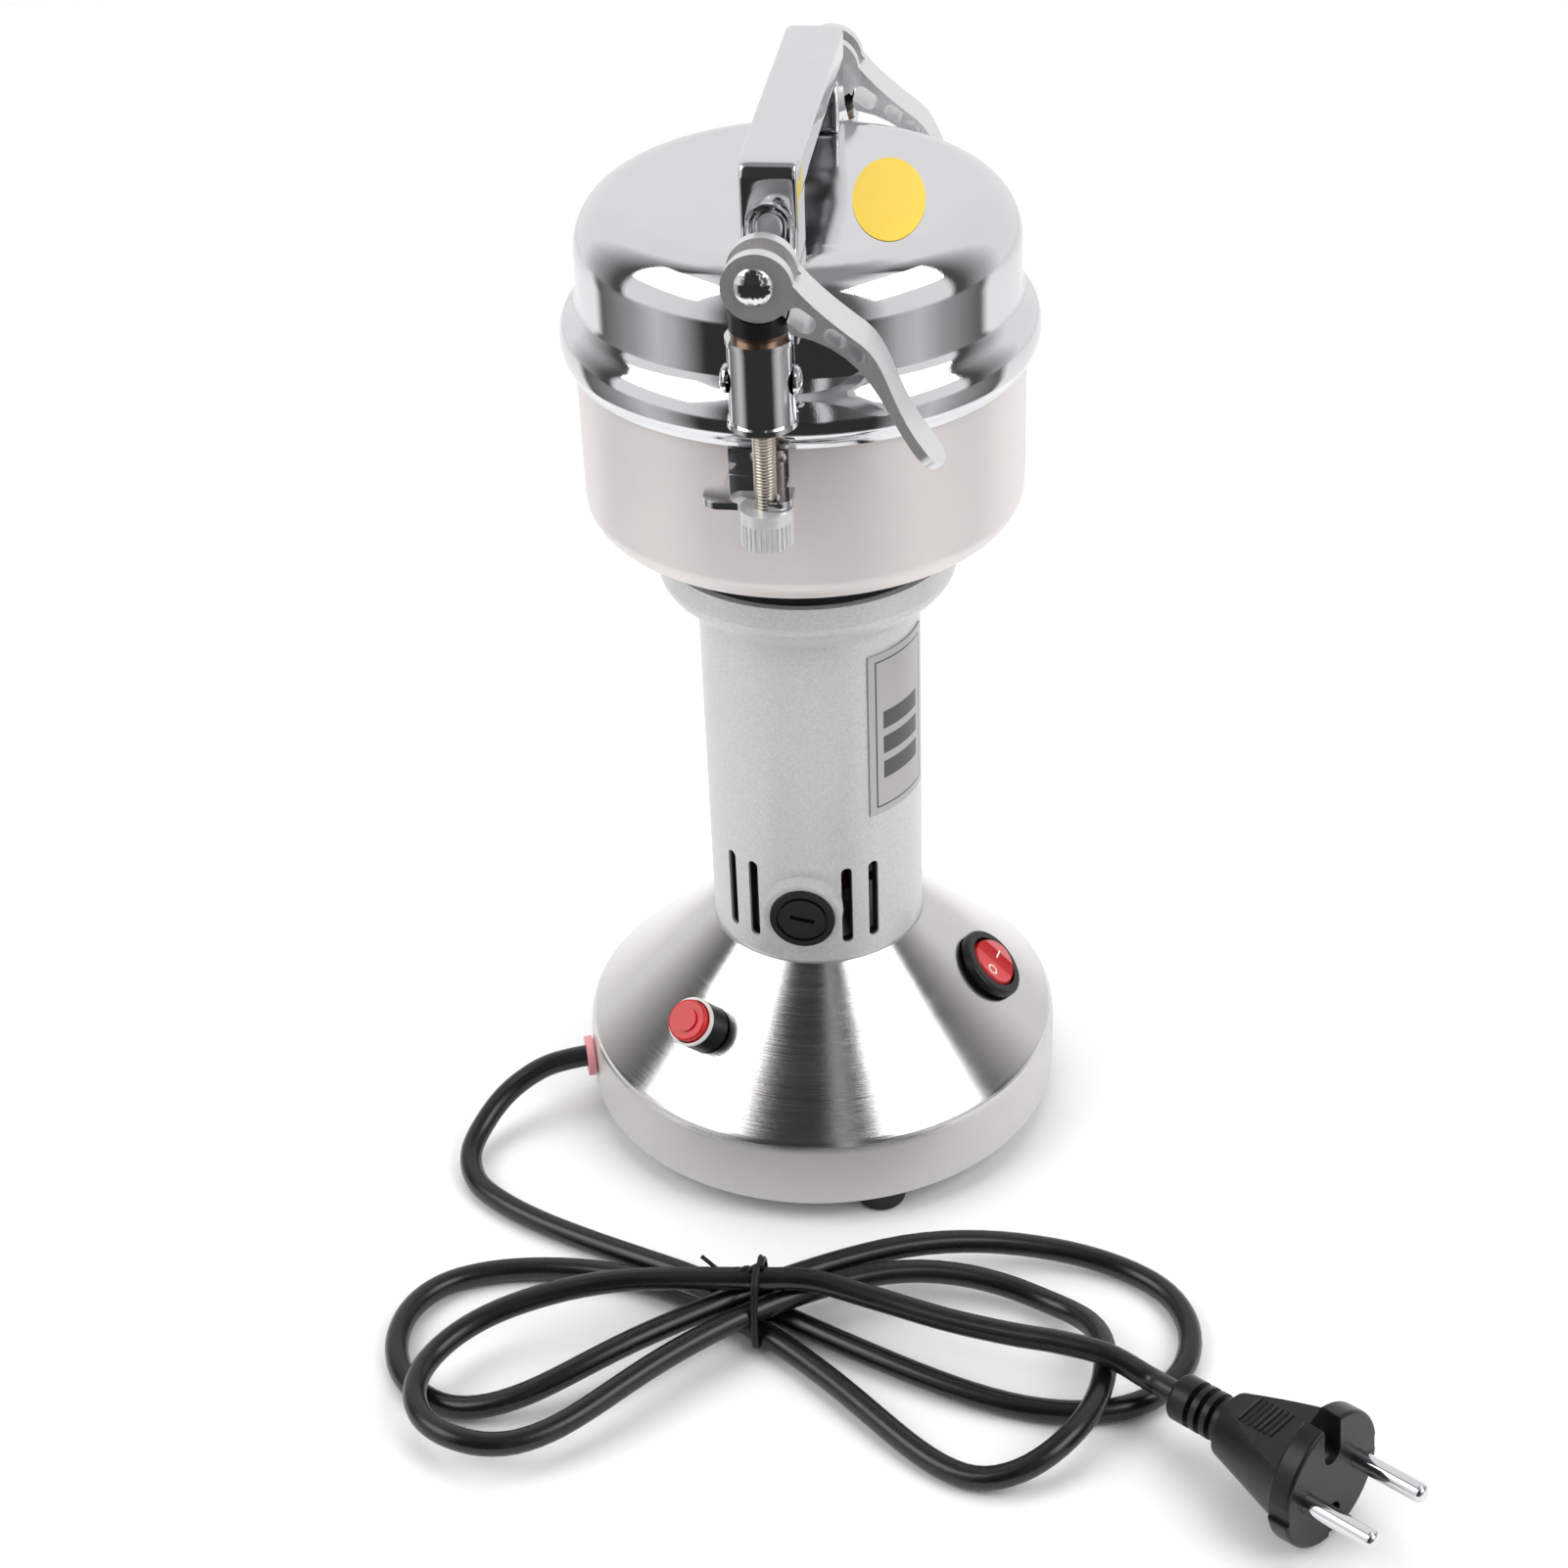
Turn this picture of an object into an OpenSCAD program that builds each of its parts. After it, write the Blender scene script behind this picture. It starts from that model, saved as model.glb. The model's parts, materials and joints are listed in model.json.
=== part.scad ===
// Small electric swing mill for coffee, spice and grain, at its real size in millimetres.
// Origin: on the table under the motor axis. +Z is up, -Y is the front (front clamp and brush cap).

/* [Base] */
// Outer diameter of the spun steel base
base_d = 130; // [116:1:150]
// Height of the base from its lower edge to the motor column
base_h = 53; // [46:1:60]
// Height of the upright band at the foot of the base
band_h = 8; // [4:0.5:12]
// Height of the rolled shoulder between the band and the cone
shoulder_h = 12; // [8:0.5:14]
// How far the shoulder leans in
shoulder_in = 1.6; // [0.5:0.1:3]
// Sheet thickness of the base
base_wall = 1.2; // [0.8:0.1:2]
// Height of the rubber feet
foot_h = 7; // [5:0.5:10]
// Diameter of a rubber foot
foot_d = 13; // [10:0.5:16]
// Distance of the feet from the base's edge
foot_inset = 8.5; // [8:0.5:20]
// Turn of the first foot from the front
foot_az = 22.5; // [10:0.5:40]

/* [Motor column] */
// Diameter of the motor column
col_d = 57; // [54:0.5:62]
// Visible height of the column below its flared head
col_h = 97; // [90:1:110]
// Wall of the column casting
col_wall = 3; // [2.5:0.1:4]
// Height of the flare under the head
flare_h = 11; // [8:0.5:14]
// Diameter of the head that carries the bowl
head_d = 76; // [70:0.5:84]
// Height of the head's upright rim
head_h = 6; // [4:0.5:9]
// Height of the brushes above the base's top edge
brush_z = 17.5; // [16:0.5:20]
// Diameter of the brush boss
boss_d = 20.5; // [18:0.5:22]
// How far the brush boss stands off the motor axis
boss_reach = 32.5; // [31:0.5:35]
// Width of a cooling slot
vent_w = 3; // [2:0.25:4]
// Length of a cooling slot
vent_l = 24; // [16:1:26]
// Height of the rating plate
label_h = 48; // [30:1:50]
// Height of the rating plate's lower edge above the base
label_up = 44; // [34:1:46]
// Thickness of the rating plate
label_t = 0.5; // [0.3:0.1:1]
// Turns of the cooling slots from the brush boss
vent_turns = [26, 41.5]; // [20:0.5:50]
// Turn of the slots as a set from the brush line, in degrees
vent_az = -3; // [-6:0.5:6]

/* [Bowl] */
// Outer diameter of the bowl
bowl_d = 109.5; // [104:0.5:116]
// Height of the bowl
bowl_h = 51.5; // [46:0.5:60]
// Wall of the bowl
bowl_wall = 1.5; // [1:0.1:2]
// Outer corner radius at the bowl's floor
bowl_corner_r = 7; // [4:0.5:10]
// Height of the rubber gasket under the bowl seat
gasket_h = 4; // [2:0.5:5]
// Height of the bowl seat ring
seat_h = 6; // [4:0.5:8]

/* [Lid] */
// Height of the lid's top above the bowl's rim
lid_rise = 31.5; // [28:0.5:38]
// How far the lid's bead reaches below the bowl's rim
lid_drop = 8.5; // [7:0.5:10]
// Outer radius of the lid's shoulder
lid_shoulder_r = 13; // [9:0.5:15]
// Wall of the lid
lid_wall = 1.2; // [0.8:0.1:1.6]
// How far the lid's skirt stands in from the bowl's outside
lid_skirt_in = 1.3; // [1:0.1:2]
// How far the lid's bead stands out from the bowl's outside
bead_out = 3.4; // [3:0.1:4]
// Height of the lid's seal ring
seal_h = 2.2; // [1.5:0.1:2.5]

/* [Handle] */
// Height of the handle's top above the lid
handle_rise = 23.5; // [20:0.5:30]
// Length of the handle bar
handle_l = 92; // [84:1:96]
// Width of the handle bar
handle_w = 14; // [13.5:0.5:18]
// Thickness of the handle bar
handle_t = 8; // [6:0.5:10]
// Width of the handle's legs
leg_w = 13; // [12:0.5:14]

/* [Clamps] */
// Gap between the lid's bead and the clamp sleeves
clamp_gap = 0.35; // [0.3:0.05:1]
// Diameter of the clamp rod
rod_d = 5; // [4:0.5:5.5]
// Diameter of the clamp sleeve
sleeve_d = 14.8; // [13.5:0.1:15]
// Height of the clamp sleeve
sleeve_h = 21; // [18:0.5:24]
// Diameter of the lever's eye
eye_d = 15.8; // [15:0.1:17]
// Eccentric throw of the lever's eye
cam_throw = 0.8; // [0.5:0.1:1.2]
// Reach of the lever from its pin
lever_l = 40; // [34:1:46]
// Width of the lever
lever_w = 12; // [11:0.5:13]
// Diameter of the lever's pin
pin_d = 4; // [3:0.25:4.5]
// Diameter of the knurled nut
nut_d = 12; // [11:0.5:13]
// Height of the knurled nut
nut_h = 9; // [8:0.5:11]
// Thickness of the bowl bracket
bracket_t = 1.8; // [1.5:0.1:2.5]
// Height of the bracket's tab below the bowl's rim
tab_drop = 15.7; // [15:0.1:19]
// Length of the slot in the bracket's tab
slot_l = 11.5; // [9:0.5:12]

/* [Rotor] */
// Diameter of the motor shaft
shaft_d = 8; // [7:0.5:9]
// Length of a cutting blade, tip to tip
blade_l = 88; // [70:1:94]
// Width of a cutting blade
blade_w = 15; // [13:0.5:18]
// Thickness of a cutting blade
blade_t = 2; // [1.5:0.1:2.5]
// Diameter of the armature
armature_d = 32; // [30:0.5:33]
// Diameter of the commutator
commutator_d = 24; // [20:0.5:25]

/* [Controls] */
// Turn of the power switch from the front
switch_az = 85; // [70:1:110]
// Distance of the switch from the base's edge
switch_inset = 18; // [16:0.5:20]
// Diameter of the switch's bezel
bezel_d = 20.5; // [19:0.5:23]
// Turn of the reset button from the front
reset_az = -34; // [-50:0.5:-20]
// Distance of the reset button from the base's edge
reset_inset = 18.5; // [14:0.5:22]
// Diameter of the reset button's collar
reset_d = 13.25; // [11:0.25:14]
// Height of the reset button's collar
reset_h = 8; // [6:0.5:10]
// Travel of the reset button
reset_travel = 2; // [1:0.1:2.5]

/* [Cord] */
// Diameter of the mains cord
cord_d = 6; // [5.5:0.1:6.4]
// Diameter of the plug's face
plug_d = 35; // [33:0.5:38]
// Distance between the plug's pins
pin_pitch = 19; // [18:0.5:20]
// Diameter of a plug pin
plug_pin_d = 4.8; // [4:0.1:5]
// Length of a plug pin
plug_pin_l = 19; // [17:0.5:20]

/* [Hidden] */
$fn = 72;
// Clearances: slide and turn fits, loose seats, and a hairline between fixed pieces
run_fit = 0.05;
loose_fit = 0.3;
seat_gap = 0.1;

// Heights from the table upwards
z_base = foot_h;
z_cone = z_base + band_h + shoulder_h;
z_col = z_base + base_h;
z_flare = z_col + col_h;
z_rim = z_flare + flare_h;
z_head = z_rim + head_h;
z_seat = z_head + gasket_h;
z_bowl = z_seat + seat_h;
z_bowl_rim = z_bowl + bowl_h;
z_lid_edge = z_bowl_rim - lid_drop;
z_lid = z_bowl_rim + lid_rise;
z_handle = z_lid + handle_rise;
z_brush = z_col + brush_z;

// Radii
base_r = base_d / 2;
foot_circle_r = base_r - foot_inset;
switch_r = base_r - switch_inset;
reset_r = base_r - reset_inset;
cone_r = base_r - shoulder_in;
col_r = col_d / 2;
bore_r = col_r - col_wall;
head_r = head_d / 2;
bowl_r = bowl_d / 2;
skirt_r = bowl_r - lid_skirt_in;
bead_r = bowl_r + bead_out;
rod_r = rod_d / 2;
sleeve_r = sleeve_d / 2;
rim_out = 0.6;
clamp_r = bead_r + clamp_gap + rim_out + sleeve_r;
eye_r = eye_d / 2;
nut_r = nut_d / 2;
shaft_r = shaft_d / 2;
cord_r = cord_d / 2;

// The cone's slope, and the tilt of what sits square on it
neck_r = col_r + 0.7;
cone_tilt = atan2(z_col - z_cone, cone_r - neck_r);
function cone_z(r) = z_cone + (cone_r - r) * tan(cone_tilt);

// Bearings and the pieces along the motor shaft
bearing_r = shaft_r + 7;
bearing_h = 7;
spigot_drop = 14;
spigot_r = col_r - 0.8;
lip_r = col_r - 0.4;
z_low_bearing = z_col - 4;
z_up_bearing = z_flare + 3;
z_cavity = z_flare;
bracket_h = 4;
hub_wall = 3;
commutator_h = 15;
core_h = 42;
coil_h = 8;
coil_wall = 6;
z_core = z_brush + 20;
z_fan = z_core + core_h + coil_h + 2;
fan_h = 8;
fan_r = bore_r - 2.5;
bush_r = shaft_r + 5;
bush_flange_r = bush_r + 3;
bush_flange_h = 2.6;
z_floor = z_bowl + bowl_wall;
z_spacer = z_floor + bush_flange_h + loose_fit;
spacer_h = 3.4;
z_blade = z_spacer + spacer_h;
collar_h = 2.6;
z_blade2 = z_blade + blade_t + collar_h;
z_nut = z_blade2 + blade_t;
blade_nut_h = 5;
blade_nut_r = shaft_r + 3.6;
shaft_top = z_nut + blade_nut_h + 2;
blade2_l = blade_l * 0.72;

// Bowl screws
bowl_screw_circle = 26;
bowl_screw_r = 2;
bowl_screw_depth = 8;

// Brush gear
holder_r = 5.4;
brush_w = 5;
brush_l = 9;
holder_back = bore_r + 2;
cap_wall = 1.7;
cap_r = boss_d / 2 - cap_wall;
cap_l = boss_reach + 1 - holder_back;

// Lid seal and clamps
z_seal = z_bowl_rim + loose_fit;
z_seal_top = z_seal + seal_h;
z_sleeve = z_bowl_rim + 3.2;
rim_h = 1.3;
washer_h = 1.8;
cup_h = 4.4;
cup_r = sleeve_r - 0.7;
saddle_depth = 1.1;
z_washer = z_sleeve + sleeve_h;
z_cup = z_washer + washer_h;
cam_phase = 50;
cam_gap = 0.35;
z_eye = z_cup + cup_h - saddle_depth + cam_gap + eye_r;
z_pin = z_eye + cam_throw * cos(cam_phase);
x_eye = cam_throw * sin(cam_phase);
barrel_r = 4;
barrel_w = 5.2;
fork_w = barrel_w + 2 * loose_fit;
pin_head_r = 4.3;
pin_head_h = 1.9;
z_tab = z_bowl_rim - tab_drop;
slot_w = rod_d + 1.2;
slot_right = rod_r + 0.7;
plate_w = 14;
plate_h = z_lid_edge - 0.4 - z_tab;
plate_x = -3;
tab_left = -14.5;
tab_right = 6;
tab_reach = clamp_r + 3;
z_nut_top = z_tab - bracket_t - loose_fit;
rod_bottom = z_nut_top - nut_h + 1;
sleeve_screw_z = z_sleeve + sleeve_h / 2;
dome_r = 3.4;
dome_h = 1.8;
leg_foot_in = 33;
lug_bottom = z_sleeve + 1.2;
handle_screw_r = 2;
handle_screw_y = leg_foot_in + 2 * handle_screw_r;
handle_screw_l = handle_rise - handle_t - 6.5;

// Switch and reset button
switch_z = cone_z(switch_r);
switch_body_r = bezel_d / 2 - 1.2;
switch_body_h = 14;
bezel_h = 2.2;
rocker_r = bezel_d / 2 - 3;
rocker_gap = 0.35;
rocker_depth = 6;
rocker_tilt = 7;
pivot_r = 1.2;
pivot_reach = rocker_r + 1;
reset_z = cone_z(reset_r);
reset_thread_r = reset_d / 2 - 1.5;
reset_thread_l = 12;
reset_ring_h = 1;
lens_r = reset_d / 2 - 1;
lens_h = 3.2;

// Cord: where it leaves the base, and its hand-chosen way to the tie and from the tie to the plug
relief_l = 16;
plug_cone_l = 23;
plug_disc_t = 6;
plug_l = relief_l + plug_cone_l + plug_disc_t;
plug_tilt = 5;
plug_z = plug_d / 2 * cos(plug_tilt) + (plug_disc_t - plug_l) * sin(plug_tilt) + 0.05;
grommet_az = -72;
grommet_z = z_base + 10;
grommet_r = 5.6;
grommet_l = 6;
tie_at = [-4, -106];
lead_way = [[-58, -18.8, 17], [-67, -21.8, 17], [-76, -25.5, 15.6], [-84.5, -31.5, 11.5], [-90, -40, 7], [-92, -50, 4],
    [-88, -60, 3], [-79.5, -67.5, 3], [-68, -74, 3], [-54, -80, 3], [-40, -85.5, 3.3], [-26, -91.3, 4], [-13, -97.3, 4.3],
    [-4, -101.8, 4.3]];
plug_at = [102.2, -132.7, plug_z];
plug_turn = -38;
plug_dir = [cos(plug_turn) * cos(plug_tilt), sin(plug_turn) * cos(plug_tilt), sin(plug_tilt)];
plug_run = [for (back = [10, 5, 0]) plug_at - back * plug_dir];
tail_way = concat([[-4, -106, 17.9], [9.5, -105.2, 17.6], [26, -108.4, 16], [44, -113.4, 15.3], [60, -117.3, 15.7],
    [73, -120, 16.5], [84.5, -122.9, 16.2]], plug_run);

// Hank: lobes as reach, half width and turn, and crossings as place, flat and ramp, worked round by a formula
lobes = [[109, 27, -1], [93, 28, 10.7], [89, 31, -12], [89.4, 19, 27.4]];
lanes = [4.2, 4.2, -4.2, -4.2, 0];
layers = [0, 1, 0, 1, 2];
layer_h = cord_d + 0.8;
tie_lift = 1.3;
lobe_rings = 24;
crossings = [[2.5, 0.06, 0.2], [3.5, 0.1, 0.3]];
tie_wire = 1.1;

function clamp01(t) = min(1, max(0, t));
function smooth(t) = let (s = clamp01(t)) s * s * (3 - 2 * s);
function plateau(v, flat, ramp) = smooth((flat + ramp - abs(v)) / ramp);
function lobe(u, i) = let (k = min(3, max(0, floor(u - 0.5))), s = smooth((u - k - 0.7) / 0.6))
    lobes[k][i] * (1 - s) + lobes[min(3, k + 1)][i] * s;
function lane(u) = let (k = min(3, floor(u)), s = smooth((u - k - 0.1) / 0.8)) lanes[k] * (1 - s) + lanes[k + 1] * s;
function rise(u) = let (k = round(u)) layers[k] * layer_h * plateau(u - k, 0.1, 0.2 + 0.05 * layers[k]);
function hank_z(u) = cord_r + tie_lift * plateau(u - round(u), 0.08, 0.15) + rise(u)
    + layer_h * max([for (c = crossings) plateau(u - c[0], c[1], c[2])]);
function hank_at(u) = let (x = lobe(u, 0) * sin(180 * u), y = -lobe(u, 1) * sin(360 * u), a = lobe(u, 2))
    [tie_at[0] + x * cos(a) - y * sin(a), tie_at[1] + lane(u) + x * sin(a) + y * cos(a), hank_z(u)];
hank_way = [for (i = [0 : 4 * lobe_rings]) hank_at(i / lobe_rings)];

// A round tube swept along a list of points
function unit(v) = v / norm(v);
function heading(way, i) = unit(way[min(i + 1, len(way) - 1)] - way[max(i - 1, 0)]);
function ring(way, i, r, sides) = let (t = heading(way, i), s = unit(cross(t, [0, 0, 1])), n = cross(s, t))
    [for (k = [0 : sides - 1]) way[i] + r * (cos(360 * k / sides) * s + sin(360 * k / sides) * n)];
module tube(way, r, sides) {
    count = len(way);
    points = [for (i = [0 : count - 1]) each ring(way, i, r, sides)];
    sides_faces = [for (i = [0 : count - 2], k = [0 : sides - 1])
        let (a = i * sides + k, b = i * sides + (k + 1) % sides) each [[a, b, b + sides], [a, b + sides, a + sides]]];
    start_cap = [for (k = [1 : sides - 2]) [0, k + 1, k]];
    end_first = (count - 1) * sides;
    end_cap = [for (k = [1 : sides - 2]) [end_first, end_first + k, end_first + k + 1]];
    polyhedron(points, concat(sides_faces, start_cap, end_cap));
}
// A smooth curve through hand-chosen points
function curve_point(p, i, t) = let (a = p[max(i - 1, 0)], b = p[i], c = p[i + 1], d = p[min(i + 2, len(p) - 1)])
    b + 0.5 * t * (c - a + t * (2 * a - 5 * b + 4 * c - d + t * (3 * (b - c) + d - a)));
function curve(p, steps) = concat([for (i = [0 : len(p) - 2], k = [0 : steps - 1]) curve_point(p, i, k / steps)],
    [p[len(p) - 1]]);
function bezier(p, steps) = [for (i = [0 : steps]) let (t = i / steps, s = 1 - t)
    s * s * s * p[0] + 3 * s * s * t * p[1] + 3 * s * t * t * p[2] + t * t * t * p[3]];
function arc(centre, r, from, to, steps) = [for (i = [0 : steps]) let (a = from + (to - from) * i / steps)
    centre + r * [cos(a), sin(a)]];
function way_length(way) = len(way) < 2 ? 0 : let (d = [for (i = [1 : len(way) - 1]) norm(way[i] - way[i - 1])])
    d * [for (x = d) 1];

// Least gap of the hank to itself, measured on finer points more than a fold apart
fine = 4 * lobe_rings;
skip = 20;
fine_way = [for (i = [0 : 4 * fine]) hank_at(i / fine)];
hank_gap = min([for (i = [0 : 4 * fine - skip]) min([for (j = [i + skip : 4 * fine]) norm(fine_way[i] - fine_way[j])])]) - cord_d;
lead_curve = curve(lead_way, 2);
tail_curve = curve(tail_way, 2);
cord_length = way_length(lead_curve) + way_length(hank_way) + way_length(tail_curve);

// Shared shapes
module pipe(r_out, r_in, h) {
    difference() {
        cylinder(r = r_out, h = h);
        translate([0, 0, -1]) cylinder(r = r_in, h = h + 2);
    }
}
module front_and_rear() {
    children();
    mirror([0, 1, 0]) children();
}
module half_turned() {
    rotate([0, 0, 180]) children();
}
module feet_places() {
    for (i = [0 : 3]) rotate([0, 0, foot_az + 90 * i]) translate([0, -foot_circle_r, 0]) children();
}
module bowl_screw_places() {
    for (i = [0 : 2]) rotate([0, 0, 30 + 120 * i]) translate([bowl_screw_circle, 0, 0]) children();
}
// Children stand on the cone, their z square to it and their x down the slope
module on_cone(az, r) {
    rotate([0, 0, az - 90]) translate([r, 0, cone_z(r)]) rotate([0, cone_tilt, 0]) children();
}
module along_brush() {
    translate([0, 0, z_brush]) rotate([90, 0, 0]) children();
}
module hexagon(r, h) {
    cylinder(r = r, h = h, $fn = 6);
}
module stadium(l, w) {
    translate([0, 0]) union() {
        translate([-(l - w) / 2, 0]) circle(d = w);
        translate([(l - w) / 2, 0]) circle(d = w);
        square([l - w, w], center = true);
    }
}

// Base
module base_shell() {
    lip_t = base_wall;
    slant = base_wall / cos(cone_tilt);
    outer = concat([[base_r, z_base], [base_r, z_base + band_h]],
        bezier([[base_r, z_base + band_h], [base_r, z_base + band_h + shoulder_h * 0.6],
            [cone_r + 1.6, z_cone - 1.4 * tan(cone_tilt)], [cone_r, z_cone]], 8),
        [[neck_r, z_col], [lip_r, z_col]]);
    inner = [[lip_r, z_col - lip_t], [neck_r - 0.4, z_col - lip_t - 0.2], [cone_r - 0.9, z_cone + 0.9 * tan(cone_tilt) - slant],
        [base_r - base_wall, z_cone - slant - 3], [base_r - base_wall, z_base]];
    color("gainsboro") difference() {
        rotate_extrude($fn = 120) polygon(concat(outer, inner));
        on_cone(switch_az, switch_r) translate([0, 0, -9]) cylinder(r = switch_body_r + seat_gap, h = 18);
        on_cone(reset_az, reset_r) translate([0, 0, -9]) cylinder(r = reset_thread_r + seat_gap, h = 18);
        rotate([0, 0, grommet_az - 90]) translate([base_r - 6, 0, grommet_z]) rotate([0, 90, 0])
            cylinder(r = grommet_r - 1 + seat_gap, h = 12);
    }
}
module base_plate() {
    plate_r = base_r - base_wall - seat_gap;
    color("silver") difference() {
        translate([0, 0, z_base]) cylinder(r = plate_r, h = 1.5);
        feet_places() cylinder(r = 2 + seat_gap, h = z_base + 5);
        for (i = [-3 : 3]) translate([i * 8, 0, z_base - 1]) linear_extrude(5) rotate(90) stadium(40 - 4 * abs(i), 3);
    }
}
module rubber_feet() {
    color("#222222") feet_places() difference() {
        rotate_extrude() polygon(concat([[0, 0]], arc([foot_d / 2 - 1, 1], 1, -90, 0, 4), [[foot_d / 2 + 0.5, foot_h],
            [0, foot_h]]));
        translate([0, 0, -1]) cylinder(r = 3.9, h = 4);
        cylinder(r = 2 + seat_gap, h = foot_h + 1);
    }
}
module foot_screws() {
    color("silver") feet_places() {
        translate([0, 0, 1]) cylinder(r = 3.6, h = 2);
        translate([0, 0, 2]) cylinder(r = 2, h = foot_h + 4.5);
    }
}
module foot_nuts() {
    color("silver") feet_places() translate([0, 0, z_base + 1.5]) difference() {
        hexagon(4, 3.2);
        translate([0, 0, -1]) cylinder(r = 2 + run_fit, h = 6);
    }
}
module column_lock_ring() {
    top = z_col - base_wall - 0.4;
    wide = 3.4 * base_wall;
    tall = 6.5 * base_wall;
    color("silver") rotate_extrude() polygon([[spigot_r + run_fit, top], [neck_r - 0.7, top],
        [neck_r + wide - 0.7, top - wide * tan(cone_tilt) - 0.9], [neck_r + wide - 0.7, top - tall], [spigot_r + run_fit, top - tall]]);
}

// Motor
module motor_column() {
    z_foot = z_col - spigot_drop;
    color("silver") difference() {
        union() {
            rotate_extrude($fn = 120) polygon(concat([[bore_r, z_foot], [spigot_r, z_foot], [spigot_r, z_col], [col_r, z_col],
                [col_r, z_flare]], bezier([[col_r, z_flare], [col_r, z_flare + 2], [head_r, z_rim - 5], [head_r, z_rim]], 8),
                [[head_r, z_head], [0, z_head], [0, z_cavity], [bore_r - 3, z_cavity], [bore_r, z_cavity - 3]]));
            front_and_rear() along_brush() translate([0, 0, bore_r - 4]) cylinder(d = boss_d, h = boss_reach - bore_r + 4);
        }
        translate([0, 0, z_foot - 1]) cylinder(r = bore_r, h = z_cavity - 3 - z_foot + 1);
        translate([0, 0, z_cavity - 1]) cylinder(r = bearing_r + seat_gap, h = z_up_bearing - z_cavity + bearing_h + 1);
        cylinder(r = bush_r + loose_fit, h = z_head + 1);
        front_and_rear() along_brush() cylinder(r = holder_r + seat_gap, h = boss_reach + 1);
        front_and_rear() along_brush() translate([0, 0, holder_back]) cylinder(r = cap_r + seat_gap, h = boss_reach);
        for (turn = vent_turns, side = [-1, 1], face = [0, 180]) rotate([0, 0, face + vent_az + side * turn])
            translate([0, 0, z_brush]) rotate([90, 0, 0]) linear_extrude(col_r + 4) rotate(90) stadium(vent_l, vent_w);
        bowl_screw_places() translate([0, 0, z_head - bowl_screw_depth]) cylinder(r = bowl_screw_r + seat_gap, h = 20);
    }
}
module lower_bearing_bracket() {
    color("lightgray") translate([0, 0, z_low_bearing]) difference() {
        union() {
            cylinder(r = bore_r - seat_gap, h = bracket_h);
            cylinder(r = bearing_r + hub_wall, h = bearing_h + 2);
        }
        translate([0, 0, 2]) cylinder(r = bearing_r + seat_gap, h = bearing_h + 2);
        translate([0, 0, -1]) cylinder(r = shaft_r + 1.5, h = 6);
        for (i = [0 : 3]) rotate([0, 0, 45 + 90 * i]) translate([bearing_r + hub_wall + 3.2, 0, -1]) cylinder(r = 2.4, h = 8);
    }
}
module bearing_at(z) {
    color("gray") translate([0, 0, z]) pipe(bearing_r, shaft_r + run_fit, bearing_h);
}
module lower_bearing() {
    bearing_at(z_low_bearing + 2);
}
module upper_bearing() {
    bearing_at(z_up_bearing);
}
module stator_core() {
    slot_r = armature_d / 2 + 0.6;
    color("dimgray") translate([0, 0, z_core]) difference() {
        cylinder(r = bore_r - seat_gap, h = core_h);
        translate([0, 0, -1]) cylinder(r = slot_r, h = core_h + 2);
        for (side = [-1, 1]) translate([side * (slot_r + 1.4), 0, core_h / 2]) cube([4, 18, core_h + 2], center = true);
    }
}
module field_coils() {
    inner = armature_d / 2 + 1.2;
    color("peru") for (z = [z_core - coil_h, z_core + core_h]) translate([0, 0, z])
        difference() {
            pipe(inner + coil_wall, inner, coil_h);
            for (side = [-1, 1]) translate([0, side * inner, coil_h / 2]) cube([6, 2 * coil_wall + 4, coil_h + 2], center = true);
        }
}
module brush_holders() {
    from = commutator_d / 2 + 2;
    color("goldenrod") front_and_rear() along_brush() translate([0, 0, from]) difference() {
        cylinder(r = holder_r, h = holder_back - from);
        translate([0, 0, (holder_back - from) / 2]) cube([brush_w + 0.2, brush_w + 0.2, holder_back], center = true);
    }
}
module carbon_brushes() {
    color("#333333") front_and_rear() along_brush() translate([0, 0, commutator_d / 2 + loose_fit])
        translate([-brush_w / 2, -brush_w / 2, 0]) cube([brush_w, brush_w, holder_back - commutator_d / 2 - loose_fit]);
}
module brush_caps() {
    color("#1c1c1c") front_and_rear() along_brush() translate([0, 0, holder_back]) difference() {
        cylinder(r = cap_r, h = cap_l);
        translate([0, 0, cap_l - 0.8]) pipe(cap_r - 1.6, cap_r - 2.4, 2);
        translate([0, 0, cap_l]) rotate(-12) cube([cap_r - 2, 1.2, 3], center = true);
    }
}

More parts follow.
